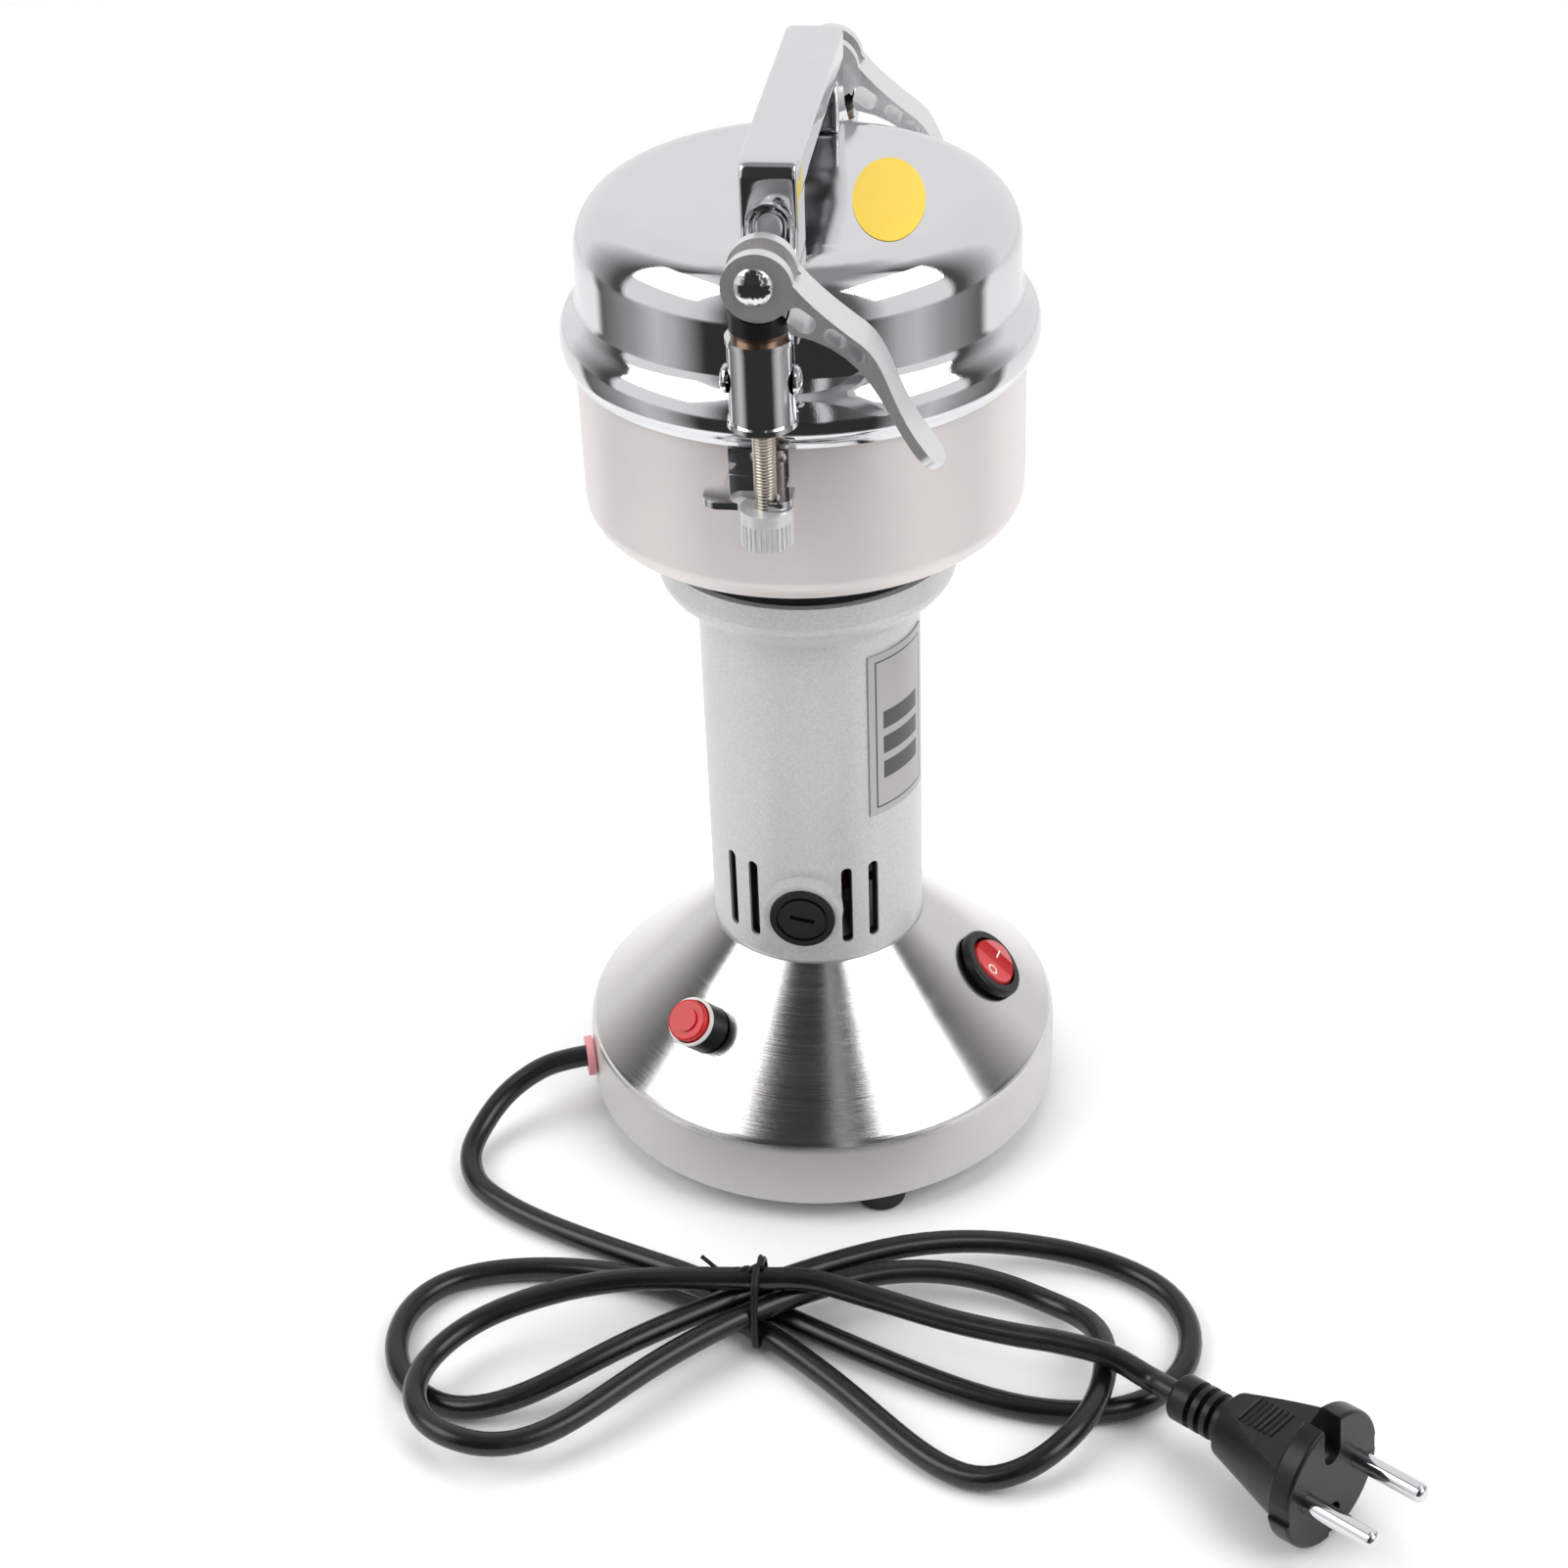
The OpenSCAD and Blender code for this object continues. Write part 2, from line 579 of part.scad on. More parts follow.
// Bowl and what carries it
module bowl_gasket() {
    color("#1c1c1c") translate([0, 0, z_head]) difference() {
        pipe(head_r - 2, bush_r + loose_fit, gasket_h);
        bowl_screw_places() translate([0, 0, -1]) cylinder(r = bowl_screw_r + seat_gap, h = gasket_h + 2);
    }
}
module bowl_seat() {
    color("gainsboro") translate([0, 0, z_seat]) difference() {
        rotate_extrude() polygon(concat([[bush_r + loose_fit, 0]], arc([head_r - 1.2, 1.2], 1.2, -90, 0, 4),
            arc([head_r - 1.2, seat_h - 1.2], 1.2, 0, 90, 4), [[bush_r + loose_fit, seat_h]]));
        bowl_screw_places() translate([0, 0, -1]) cylinder(r = bowl_screw_r + seat_gap, h = seat_h + 2);
    }
}
module bowl() {
    inner_corner = bowl_corner_r - bowl_wall;
    color("lightgray") difference() {
        rotate_extrude($fn = 120) polygon(concat([[0, z_bowl]],
            arc([bowl_r - bowl_corner_r, z_bowl + bowl_corner_r], bowl_corner_r, -90, 0, 8),
            [[bowl_r, z_bowl_rim], [bowl_r - bowl_wall, z_bowl_rim]],
            arc([bowl_r - bowl_corner_r, z_bowl + bowl_corner_r], inner_corner, 0, -90, 8), [[0, z_floor]]));
        translate([0, 0, z_bowl - 1]) cylinder(r = bush_r + seat_gap, h = bowl_wall + 2);
        bowl_screw_places() translate([0, 0, z_bowl - 1]) cylinder(r = bowl_screw_r + seat_gap, h = bowl_wall + 2);
    }
}
module bowl_screws() {
    head_h = 2;
    color("silver") bowl_screw_places() {
        translate([0, 0, z_floor]) cylinder(r = 3.6, h = head_h);
        translate([0, 0, z_head - bowl_screw_depth + 1]) cylinder(r = bowl_screw_r, h = z_floor - z_head + bowl_screw_depth);
    }
}
module shaft_bush() {
    bottom = z_head + 1;
    color("#333333") difference() {
        union() {
            translate([0, 0, bottom]) cylinder(r = bush_r, h = z_floor - bottom);
            translate([0, 0, z_floor]) cylinder(r = bush_flange_r, h = bush_flange_h);
        }
        translate([0, 0, bottom - 1]) cylinder(r = shaft_r + run_fit, h = seat_h + gasket_h + 20);
    }
}
module bracket() {
    color("silver") difference() {
        union() {
            intersection() {
                translate([plate_x - plate_w / 2, -bowl_r - bracket_t - 2, z_tab - bracket_t])
                    cube([plate_w, 14, plate_h + bracket_t]);
                translate([0, 0, z_tab - bracket_t]) pipe(bowl_r + seat_gap + bracket_t, bowl_r + seat_gap, plate_h + bracket_t);
            }
            translate([0, 0, z_tab - bracket_t]) linear_extrude(bracket_t) difference() {
                union() {
                    translate([tab_left + 4, -tab_reach]) square([tab_right - tab_left - 8, tab_reach - bowl_r]);
                    translate([tab_left, -tab_reach + 4]) square([tab_right - tab_left, 4.5]);
                    for (x = [tab_left + 4, tab_right - 4]) translate([x, -tab_reach + 4]) circle(r = 4);
                    translate([plate_x - plate_w / 2, -tab_reach + 4]) square([plate_w, tab_reach - bowl_r + 2]);
                }
                circle(r = bowl_r + seat_gap);
            }
        }
        translate([slot_right - slot_l / 2, -clamp_r, z_tab - bracket_t - 1]) linear_extrude(bracket_t + 2) stadium(slot_l, slot_w);
    }
}
module front_bracket() {
    bracket();
}
module rear_bracket() {
    half_turned() bracket();
}
module rating_plate() {
    span = 46;
    mid = 60;
    color("darkgray") intersection() {
        translate([0, 0, z_col + label_up]) pipe(col_r + label_t, col_r + 0.02, label_h);
        rotate([0, 0, mid - 90]) translate([0, 0, z_col + label_up]) linear_extrude(label_h)
            polygon([[0, 0], col_d * [cos(span / 2), -sin(span / 2)], col_d * [cos(span / 2), sin(span / 2)]]);
    }
}

// Power switch and reset button
module switch_housing() {
    color("#1c1c1c") on_cone(switch_az, switch_r) difference() {
        union() {
            translate([0, 0, -switch_body_h]) cylinder(r = switch_body_r, h = switch_body_h + 1);
            rotate_extrude() polygon(concat([[0, 0.6], [bezel_d / 2, 0.6]], arc([bezel_d / 2 - 1.2, bezel_h - 1.2 + 0.6], 1.2, 0, 90, 4),
                [[0, bezel_h + 0.6]]));
        }
        translate([0, 0, -rocker_depth]) cylinder(r = rocker_r + rocker_gap, h = 20);
        rocker_pivot(loose_fit);
    }
}
// Pivot of the rocker, grown by a gap for the holes it turns in
module rocker_pivot(gap) {
    translate([-pivot_reach - gap, 0, 0]) rotate([0, 90, 0]) cylinder(r = pivot_r + gap, h = 2 * (pivot_reach + gap));
}
module rocker() {
    bulge = 2.4;
    color("red") on_cone(switch_az, switch_r) rotate([rocker_tilt, 0, 0]) {
        rocker_pivot(0);
        intersection() {
            translate([0, 0, -rocker_depth + 2]) cylinder(r = rocker_r - 0.3, h = 14);
            rotate([0, 90, 0]) translate([0, 0, -20]) linear_extrude(40) difference() {
                translate([-bulge - bezel_h, -20]) square([bulge + bezel_h + 2.6, 40]);
                translate([-bulge - bezel_h - 22.6, 0]) circle(r = 24, $fn = 120);
            }
            sphere(r = rocker_r, $fn = 96);
        }
    }
}
module reset_collar() {
    color("#1c1c1c") on_cone(reset_az, reset_r) difference() {
        union() {
            translate([0, 0, 0.6]) cylinder(d = reset_d, h = reset_h - 0.6);
            translate([0, 0, -reset_thread_l]) cylinder(r = reset_thread_r, h = reset_thread_l + 1);
        }
        translate([0, 0, reset_h - lens_h - reset_travel]) cylinder(r = lens_r + loose_fit, h = 20);
    }
}
module reset_ring() {
    color("white") on_cone(reset_az, reset_r) translate([0, 0, reset_h])
        pipe(reset_d / 2, lens_r + loose_fit, reset_ring_h);
}
module reset_nut() {
    color("silver") on_cone(reset_az, reset_r) translate([0, 0, -base_wall - 0.9 - 2.5]) difference() {
        hexagon(reset_thread_r + 3, 2.5);
        translate([0, 0, -1]) cylinder(r = reset_thread_r + run_fit, h = 6);
    }
}
module reset_button() {
    color("red") on_cone(reset_az, reset_r) {
        lens_top = reset_h + reset_ring_h + reset_travel + 0.2;
        translate([0, 0, reset_h - lens_h + 0.2]) rotate_extrude() polygon(concat([[0, 0], [lens_r, 0]],
            arc([lens_r - 0.6, lens_top - reset_h + lens_h - 0.8], 0.6, 0, 90, 4), [[0, lens_top - reset_h + lens_h - 0.2]]));
        translate([0, 0, lens_top - 0.1]) cylinder(r = lens_r * 0.58, h = 0.7);
    }
}

// Cord, hank, tie and plug
module cord_grommet() {
    color("lightpink") rotate([0, 0, grommet_az - 90]) translate([base_r, 0, grommet_z]) rotate([0, 90, 0]) difference() {
        union() {
            translate([0, 0, -3]) cylinder(r = grommet_r - 1, h = 4);
            translate([0, 0, 0.4]) cylinder(r = grommet_r, h = 2);
            translate([0, 0, -3.6]) cylinder(r = grommet_r, h = 2);
        }
        translate([0, 0, -5]) cylinder(r = cord_r + seat_gap, h = 10);
    }
}
module cord_lead() {
    color("#1c1c1c") tube(lead_curve, cord_r, 8);
}
module cord_hank() {
    color("#1c1c1c") tube(hank_way, cord_r, 6);
}
module cord_tail() {
    color("#1c1c1c") tube(tail_curve, cord_r, 8);
}
module cord_tie() {
    low = tie_wire;
    wide = 8.6;
    shoulder = cord_d + layer_h + 1;
    top = cord_d + 2 * layer_h + tie_lift + 0.6;
    w = tie_wire;
    color("#1c1c1c") translate([tie_at[0] + 0.8, tie_at[1], 0]) rotate([90, 0, -90]) linear_extrude(1.6) difference() {
        polygon([[-wide - w, 0], [wide + w, 0], [wide + w, shoulder], [5 + w, top + w], [-5 - w, top + w], [-wide - w, shoulder]]);
        polygon([[-wide, low], [wide, low], [wide, shoulder - 0.4], [5, top], [-5, top], [-wide, shoulder - 0.4]]);
    }
}
module at_plug() {
    translate(plug_at) rotate([0, 0, plug_turn]) rotate([0, 90 - plug_tilt, 0]) children();
}
module plug_relief() {
    ribs = 3;
    collar = 5.5;
    rib_l = (relief_l - collar - 1) / ribs;
    color("#1c1c1c") at_plug() rotate_extrude() polygon(concat([[0, 0]], arc([4.8, 1.2], 1.2, -90, 0, 4), [[6, collar]],
        [for (i = [0 : ribs - 1]) each [[4.2, collar + i * rib_l], [4.2, collar + (i + 0.5) * rib_l],
            [6, collar + (i + 0.5) * rib_l], [6, collar + (i + 1) * rib_l]]], [[5, relief_l - 1], [5, relief_l], [0, relief_l]]));
}
module plug_body() {
    r = plug_d / 2;
    flat = 8.3;
    back = relief_l + plug_cone_l;
    face = back + plug_disc_t;
    earth_at = 8.5;
    color("#1c1c1c") at_plug() difference() {
        union() {
            intersection() {
                translate([0, 0, relief_l]) cylinder(r1 = flat, r2 = r - 2, h = plug_cone_l + 1);
                translate([-flat, -r, relief_l]) cube([2 * flat, 2 * r, plug_cone_l + 2]);
            }
            translate([0, 0, back - 4]) cylinder(r1 = flat, r2 = r - 1, h = 4.2);
            translate([0, 0, back]) rotate_extrude() polygon(concat([[0, 0]], arc([r - 1, 1], 1, -90, 0, 4),
                arc([r - 1, plug_disc_t - 1], 1, 0, 90, 4), [[0, plug_disc_t]]));
            for (i = [0 : 6]) translate([-flat - 0.4, -4.5, relief_l + 5 + 1.5 * i]) cube([2 * flat + 0.8, 9, 0.7]);
        }
        translate([-r - 1, -3, back - 5]) cube([r + 1 - earth_at, 6, plug_disc_t + 10]);
        translate([-earth_at, 0, back + 1]) cylinder(r = 3, h = plug_disc_t);
        translate([earth_at + 1.5, 0, back + 1]) cylinder(r = 2.8, h = plug_disc_t);
        translate([r - 2, -1.5, back + 1]) cube([4, 3, plug_disc_t]);
        for (side = [-1, 1]) translate([0, side * (r + 0.4), face]) cube([4.5, 3, 2 * plug_disc_t + 6], center = true);
        for (side = [-1, 1]) translate([0, side * pin_pitch / 2, back]) cylinder(d = plug_pin_d + 2 * run_fit, h = plug_disc_t + 1);
    }
}
module plug_pins() {
    r = plug_pin_d / 2;
    long = plug_disc_t + plug_pin_l;
    color("silver") at_plug() for (side = [-1, 1]) translate([0, side * pin_pitch / 2, plug_l - plug_disc_t])
        rotate_extrude() polygon(concat([[0, 0], [r, 0]], arc([r - 1.6, long - 1.6], 1.6, 0, 90, 5), [[0, long]]));
}

// Rotor
module motor_shaft() {
    color("silver") translate([0, 0, z_low_bearing + 1]) cylinder(r = shaft_r, h = shaft_top - z_low_bearing - 1);
}
module armature_core() {
    slots = 12;
    color("dimgray") translate([0, 0, z_core]) difference() {
        cylinder(r = armature_d / 2, h = core_h);
        translate([0, 0, -1]) cylinder(r = shaft_r + 0.02, h = core_h + 2);
        for (i = [0 : slots - 1]) rotate([0, 0, 360 * i / slots]) translate([armature_d / 2, 0, core_h / 2])
            cube([6, 1.6, core_h + 2], center = true);
    }
}
module armature_windings() {
    color("peru") for (z = [z_core - coil_h + 2, z_core + core_h]) translate([0, 0, z])
        pipe(armature_d / 2 - 1.5, shaft_r + 0.02, coil_h - 2);
}
module commutator() {
    bars = 24;
    r = commutator_d / 2;
    color("chocolate") translate([0, 0, z_brush - commutator_h / 2]) difference() {
        pipe(r, shaft_r + 0.02, commutator_h);
        for (i = [0 : bars - 1]) rotate([0, 0, 360 * i / bars]) translate([r, 0, commutator_h / 2])
            cube([1, 0.5, commutator_h + 2], center = true);
    }
}
module cooling_fan() {
    vanes = 9;
    color("#333333") translate([0, 0, z_fan]) difference() {
        union() {
            cylinder(r = fan_r, h = 1.5);
            cylinder(r = shaft_r + 4, h = fan_h);
            for (i = [0 : vanes - 1]) rotate([0, 0, 360 * i / vanes]) translate([shaft_r + 3, -0.7, 0])
                cube([fan_r - shaft_r - 3.4, 1.4, fan_h - 1]);
        }
        translate([0, 0, -1]) cylinder(r = shaft_r + 0.02, h = fan_h + 2);
    }
}
module blade_spacers() {
    color("silver") {
        translate([0, 0, z_spacer]) pipe(shaft_r + 4.5, shaft_r + 0.02, spacer_h);
        translate([0, 0, z_blade + blade_t]) pipe(shaft_r + 4.5, shaft_r + 0.02, collar_h);
    }
}
module blade(l, w) {
    difference() {
        linear_extrude(blade_t) difference() {
            union() {
                circle(r = w / 2);
                for (side = [0, 180]) rotate(side) polygon([[0, -w / 2], [l / 2 - 8, -w / 2 + 2], [l / 2, w / 4],
                    [l / 2 - 3, w / 2 - 1], [0, w / 2]]);
            }
            circle(r = shaft_r + 0.02);
        }
        for (side = [0, 180]) rotate([0, 0, side]) translate([l / 4 + 2, -w / 2 + 1.2, blade_t]) rotate([30, 0, 3])
            translate([0, -5, 0]) cube([l / 2 - 14, 10, 4], center = true);
    }
}
module lower_blade() {
    color("silver") translate([0, 0, z_blade]) blade(blade_l, blade_w);
}
module upper_blade() {
    color("silver") translate([0, 0, z_blade2]) rotate([0, 0, 90]) blade(blade2_l, blade_w);
}
module blade_nut() {
    color("silver") translate([0, 0, z_nut]) difference() {
        hexagon(blade_nut_r, blade_nut_h);
        translate([0, 0, -1]) cylinder(r = shaft_r + 0.02, h = blade_nut_h + 2);
    }
}

// Lid
function lid_outline(grow) = concat([[0, z_lid + grow]],
    arc([skirt_r - lid_shoulder_r, z_lid - lid_shoulder_r], lid_shoulder_r + grow, 90, 0, 10),
    bezier([[skirt_r + grow, z_bowl_rim + 8], [skirt_r + grow, z_bowl_rim + 3], [bead_r + grow, z_bowl_rim + 4],
        [bead_r + grow, z_bowl_rim - 3]], 8),
    bezier([[bead_r + grow, z_bowl_rim - 3], [bead_r + grow, z_bowl_rim - 7], [bead_r - 1.2 + grow, z_lid_edge + 3],
        [bowl_r + lid_wall + 0.5 + grow, z_lid_edge]], 6));
module lid_shell() {
    inner = concat([[bowl_r + 0.5, z_lid_edge], [bowl_r + 0.5, z_seal_top + 0.1], [skirt_r - lid_wall, z_seal_top + 0.1]],
        arc([skirt_r - lid_shoulder_r, z_lid - lid_shoulder_r], lid_shoulder_r - lid_wall, 0, 90, 8), [[0, z_lid - lid_wall]]);
    color("gainsboro") difference() {
        rotate_extrude($fn = 120) polygon(concat(lid_outline(0), inner));
        front_and_rear() translate([0, -handle_screw_y, z_lid - 5]) cylinder(r = handle_screw_r + seat_gap, h = 10);
    }
}
module lid_seal() {
    color("whitesmoke") translate([0, 0, z_seal]) pipe(bowl_r + 0.4, bowl_r - bowl_wall - 2, seal_h);
}
module handle() {
    half = handle_l / 2;
    lug_front = clamp_r - sleeve_r - 0.1;
    under = z_handle - handle_t;
    shape = concat([[0, z_handle]], arc([half - 3, z_handle - 3], 3, 90, 0, 5),
        bezier([[half, z_lid + 9], [half + 1, z_lid - 1], [lug_front, z_lid - 2], [lug_front, z_lid - 9]], 6),
        [[lug_front, lug_bottom], [skirt_r, lug_bottom], [skirt_r, z_lid - lid_shoulder_r - 2], [leg_foot_in, z_lid - 2],
        [leg_foot_in, z_lid + 6]], arc([leg_foot_in - 6, under - 6], 6, 0, 90, 5), [[0, under]]);
    color("silver") difference() {
        union() {
            front_and_rear() rotate([90, 0, -90]) translate([0, 0, -leg_w / 2]) linear_extrude(leg_w) polygon(shape);
            translate([-handle_w / 2, -half + 3, under]) cube([handle_w, handle_l - 6, handle_t]);
        }
        rotate_extrude($fn = 120) intersection() {
            polygon(concat(lid_outline(loose_fit), [[0, z_lid_edge]]));
            square([bead_r + 5, z_lid]);
        }
        translate([-handle_w / 2 + 2.5, -leg_foot_in + 6, under - 1]) cube([handle_w - 5, 2 * leg_foot_in - 12, handle_t - 2.5]);
        front_and_rear() {
            translate([0, -clamp_r, lug_bottom - 1]) cylinder(r = sleeve_r + rim_out + seat_gap, h = rim_h + 1);
            translate([0, -clamp_r, lug_bottom - 1]) cylinder(r = sleeve_r + seat_gap, h = 2 * handle_rise);
            translate([0, -clamp_r, z_washer - rim_h - seat_gap]) cylinder(r = sleeve_r + rim_out / 2 + seat_gap, h = 2 * handle_rise);
            translate([0, -half - 2, z_lid + 7]) rotate([-90, 0, 0]) linear_extrude(4) union() {
                translate([-leg_w / 2 + 2.2, -2]) square([leg_w - 4.4, handle_rise - handle_t]);
                translate([0, -2]) circle(r = leg_w / 2 - 2.2);
            }
            translate([0, -handle_screw_y, z_lid - 1]) cylinder(r = handle_screw_r + seat_gap, h = handle_screw_l);
        }
    }
}
module handle_screws() {
    color("silver") front_and_rear() translate([0, -handle_screw_y, 0]) {
        translate([0, 0, z_lid - lid_wall - handle_screw_r]) cylinder(r = 1.8 * handle_screw_r, h = handle_screw_r);
        translate([0, 0, z_lid - lid_wall - 1]) cylinder(r = handle_screw_r, h = handle_screw_l - 1.5 + lid_wall);
    }
}

// Clamps
module clamp_sleeves() {
    color("silver") front_and_rear() translate([0, -clamp_r, z_sleeve]) difference() {
        union() {
            cylinder(r = sleeve_r, h = sleeve_h);
            cylinder(r = sleeve_r + rim_out, h = rim_h);
            translate([0, 0, sleeve_h - rim_h]) cylinder(r = sleeve_r + rim_out / 2, h = rim_h);
        }
        translate([0, 0, -1]) cylinder(r = rod_r + loose_fit, h = sleeve_h + 2);
        for (side = [-1, 1]) translate([side * (rod_r + 2), 0, sleeve_h / 2]) rotate([0, side * 90, 0]) cylinder(r = 1.5, h = 20);
    }
}
module sleeve_screws() {
    color("silver") front_and_rear() for (side = [-1, 1]) translate([0, -clamp_r, sleeve_screw_z]) rotate([0, side * 90, 0]) {
        translate([0, 0, rod_r + 2.2]) cylinder(r = 1.45, h = sleeve_r - rod_r - 1.8);
        translate([0, 0, sleeve_r + 0.05]) rotate_extrude() polygon(concat([[0, 0], [dome_r, 0]],
            bezier([[dome_r, 0.3], [dome_r, 1.2], [1.8, dome_h], [0, dome_h]], 6)));
    }
}
module thrust_washers() {
    color("#b07a4a") front_and_rear() translate([0, -clamp_r, z_washer]) pipe(sleeve_r - 1, rod_r + loose_fit, washer_h);
}
module cam_cups() {
    color("#1c1c1c") front_and_rear() translate([0, -clamp_r, z_cup]) difference() {
        cylinder(r = cup_r, h = cup_h);
        translate([0, 0, -1]) cylinder(r = rod_r + loose_fit, h = cup_h + 2);
        translate([x_eye, 20, z_eye - z_cup]) rotate([90, 0, 0]) cylinder(r = eye_r + cam_gap, h = 40);
    }
}
module rod() {
    color("silver") translate([0, -clamp_r, 0]) difference() {
        union() {
            translate([0, 0, rod_bottom]) cylinder(r = rod_r, h = z_pin - rod_bottom);
            translate([0, barrel_w / 2, z_pin]) rotate([90, 0, 0]) cylinder(r = barrel_r, h = barrel_w);
        }
        translate([0, 20, z_pin]) rotate([90, 0, 0]) cylinder(r = pin_d / 2 + run_fit, h = 40);
    }
}
module front_rod() {
    rod();
}
module rear_rod() {
    mirror([0, 1, 0]) rod();
}
// Lever outline round its pin, in shares of its reach: upper curves out to the thumb end, lower curve back
// and a root that keeps clear of the cam cup
root_x = cup_r + loose_fit;
root_top = z_cup + cup_h - z_pin + loose_fit;
function arm_outline() = concat(
    lever_l * bezier([[0.11, 0.15], [0.24, -0.06], [0.40, -0.19], [0.575, -0.325]], 8),
    lever_l * bezier([[0.575, -0.325], [0.74, -0.46], [0.71, -0.75], [1.01, -1.07]], 10),
    bezier([lever_l * [0.97, -1.11], lever_l * [0.67, -0.825], lever_l * [0.70, -0.3625], [root_x + 0.6, root_top - 3.5]], 12),
    [[root_x, root_top - 1.8], [root_x, root_top], [root_x - 1.5, root_top + 1.5]]);
arm_holes = lever_l * [[0.25, -0.19, 0.177, 0.11], [0.433, -0.289, 0.14, 0.08], [0.552, -0.384, 0.122, 0.062]];
arm_hole_turns = [-36, -36, -45];
thumb_at = lever_l * [0.9, -0.975];
thumb_turn = -52;
slot_from = -4;
module lever() {
    reach = lever_l * 0.4;
    color("gainsboro") translate([0, -clamp_r, z_pin]) rotate([90, 0, 0]) difference() {
        translate([0, 0, -lever_w / 2]) linear_extrude(lever_w) difference() {
            union() {
                translate([x_eye, z_eye - z_pin]) circle(r = eye_r);
                polygon(arm_outline());
            }
            for (i = [0 : 2]) let (h = arm_holes[i]) translate([h[0], h[1]]) rotate(arm_hole_turns[i]) stadium(h[2], h[3]);
        }
        translate(thumb_at) rotate([0, 0, thumb_turn]) rotate([90, 0, 0]) translate([0, 0, -reach / 2]) linear_extrude(reach) difference() {
            translate([0, -lever_w]) square([lever_w, 2 * lever_w]);
            circle(r = lever_w / 2);
        }
        translate([0, 0, -lever_w]) cylinder(r = pin_d / 2 + seat_gap, h = 2 * lever_w);
        translate([0, 0, -fork_w / 2]) cylinder(r = barrel_r + loose_fit, h = fork_w);
        translate([0, 0, -fork_w / 2]) linear_extrude(fork_w) union() {
            polygon(concat([[0, 0]], arc([0, 0], reach, slot_from, 300, 20)));
            translate([-reach, -reach]) square([reach + rod_r + loose_fit, reach]);
        }
    }
    color("silver") translate([0, -clamp_r, z_pin]) rotate([90, 0, 0]) {
        translate([0, 0, -lever_w / 2]) cylinder(r = pin_d / 2, h = lever_w);
        for (side = [0, 1]) mirror([0, 0, side]) translate([0, 0, lever_w / 2]) rotate_extrude()
            polygon(concat([[0, 0], [pin_head_r, 0]], bezier([[pin_head_r, 0.3], [pin_head_r, 1.2], [2.2, pin_head_h], [0, pin_head_h]], 6)));
    }
}
module front_lever() {
    lever();
}
module rear_lever() {
    mirror([0, 1, 0]) lever();
}
module knurled_nut() {
    grooves = 30;
    plain_h = 3;
    color("gainsboro") translate([0, -clamp_r, z_nut_top - nut_h]) difference() {
        cylinder(r = nut_r, h = nut_h);
        translate([0, 0, -1]) cylinder(r = rod_r + run_fit, h = nut_h + 2);
        for (i = [0 : grooves - 1]) rotate([0, 0, 360 * i / grooves]) translate([nut_r + 0.15, 0, (nut_h - plain_h) / 2 - 0.5])
            rotate([0, 0, 45]) cube([0.7, 0.7, nut_h - plain_h + 1], center = true);
    }
}
module front_nut() {
    knurled_nut();
}
module rear_nut() {
    mirror([0, 1, 0]) knurled_nut();
}

echo(hank_gap = hank_gap, cord_length = cord_length, top = z_handle, pin = z_pin);

base_shell();
base_plate();
rubber_feet();
foot_screws();
foot_nuts();
column_lock_ring();
motor_column();
lower_bearing_bracket();
lower_bearing();
upper_bearing();
stator_core();
field_coils();
brush_holders();
carbon_brushes();
brush_caps();
bowl_gasket();
bowl_seat();
bowl();
bowl_screws();
shaft_bush();
front_bracket();
rear_bracket();
rating_plate();
switch_housing();
reset_collar();
reset_ring();
reset_nut();
cord_grommet();
cord_lead();
cord_hank();
cord_tail();
cord_tie();
plug_relief();
plug_body();
plug_pins();
motor_shaft();
armature_core();
armature_windings();
commutator();
cooling_fan();
blade_spacers();
lower_blade();
upper_blade();
blade_nut();
rocker();
reset_button();
lid_shell();
lid_seal();
handle();
handle_screws();
clamp_sleeves();
sleeve_screws();
thrust_washers();
cam_cups();
front_rod();
rear_rod();
front_lever();
rear_lever();
front_nut();
rear_nut();
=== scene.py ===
"""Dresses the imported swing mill: cord, tie, rod threads, sticker, switch marks, edges, finishes and stage."""
import json
import math

import bpy
from bpy.props import FloatProperty, FloatVectorProperty, PointerProperty
from bpy.types import Operator, Panel, PropertyGroup
from mathutils import Matrix, Vector


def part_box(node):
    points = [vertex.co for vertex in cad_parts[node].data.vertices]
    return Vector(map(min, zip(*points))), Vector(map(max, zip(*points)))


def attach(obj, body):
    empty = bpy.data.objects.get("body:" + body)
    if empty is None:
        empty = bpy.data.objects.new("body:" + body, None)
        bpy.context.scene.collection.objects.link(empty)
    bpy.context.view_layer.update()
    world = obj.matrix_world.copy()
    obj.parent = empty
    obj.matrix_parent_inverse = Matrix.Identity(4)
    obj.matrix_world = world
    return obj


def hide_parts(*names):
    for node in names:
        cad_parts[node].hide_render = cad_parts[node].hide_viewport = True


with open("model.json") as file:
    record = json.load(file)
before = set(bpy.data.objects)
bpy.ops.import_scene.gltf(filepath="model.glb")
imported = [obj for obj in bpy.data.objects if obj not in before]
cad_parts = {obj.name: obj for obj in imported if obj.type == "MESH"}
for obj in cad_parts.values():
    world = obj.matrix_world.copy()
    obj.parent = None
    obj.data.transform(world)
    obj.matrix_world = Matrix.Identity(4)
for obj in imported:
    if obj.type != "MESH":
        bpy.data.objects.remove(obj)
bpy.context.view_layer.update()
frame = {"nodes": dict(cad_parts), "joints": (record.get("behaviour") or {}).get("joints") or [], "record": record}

bl_info = {
    "name": "Swing Mill Dresser",
    "version": (1, 0, 0),
    "blender": (4, 5, 0),
    "location": "View3D > Sidebar > Mill",
    "description": "Gives the packed swing mill its cord, small pieces, finishes and stage",
    "category": "Object",
}

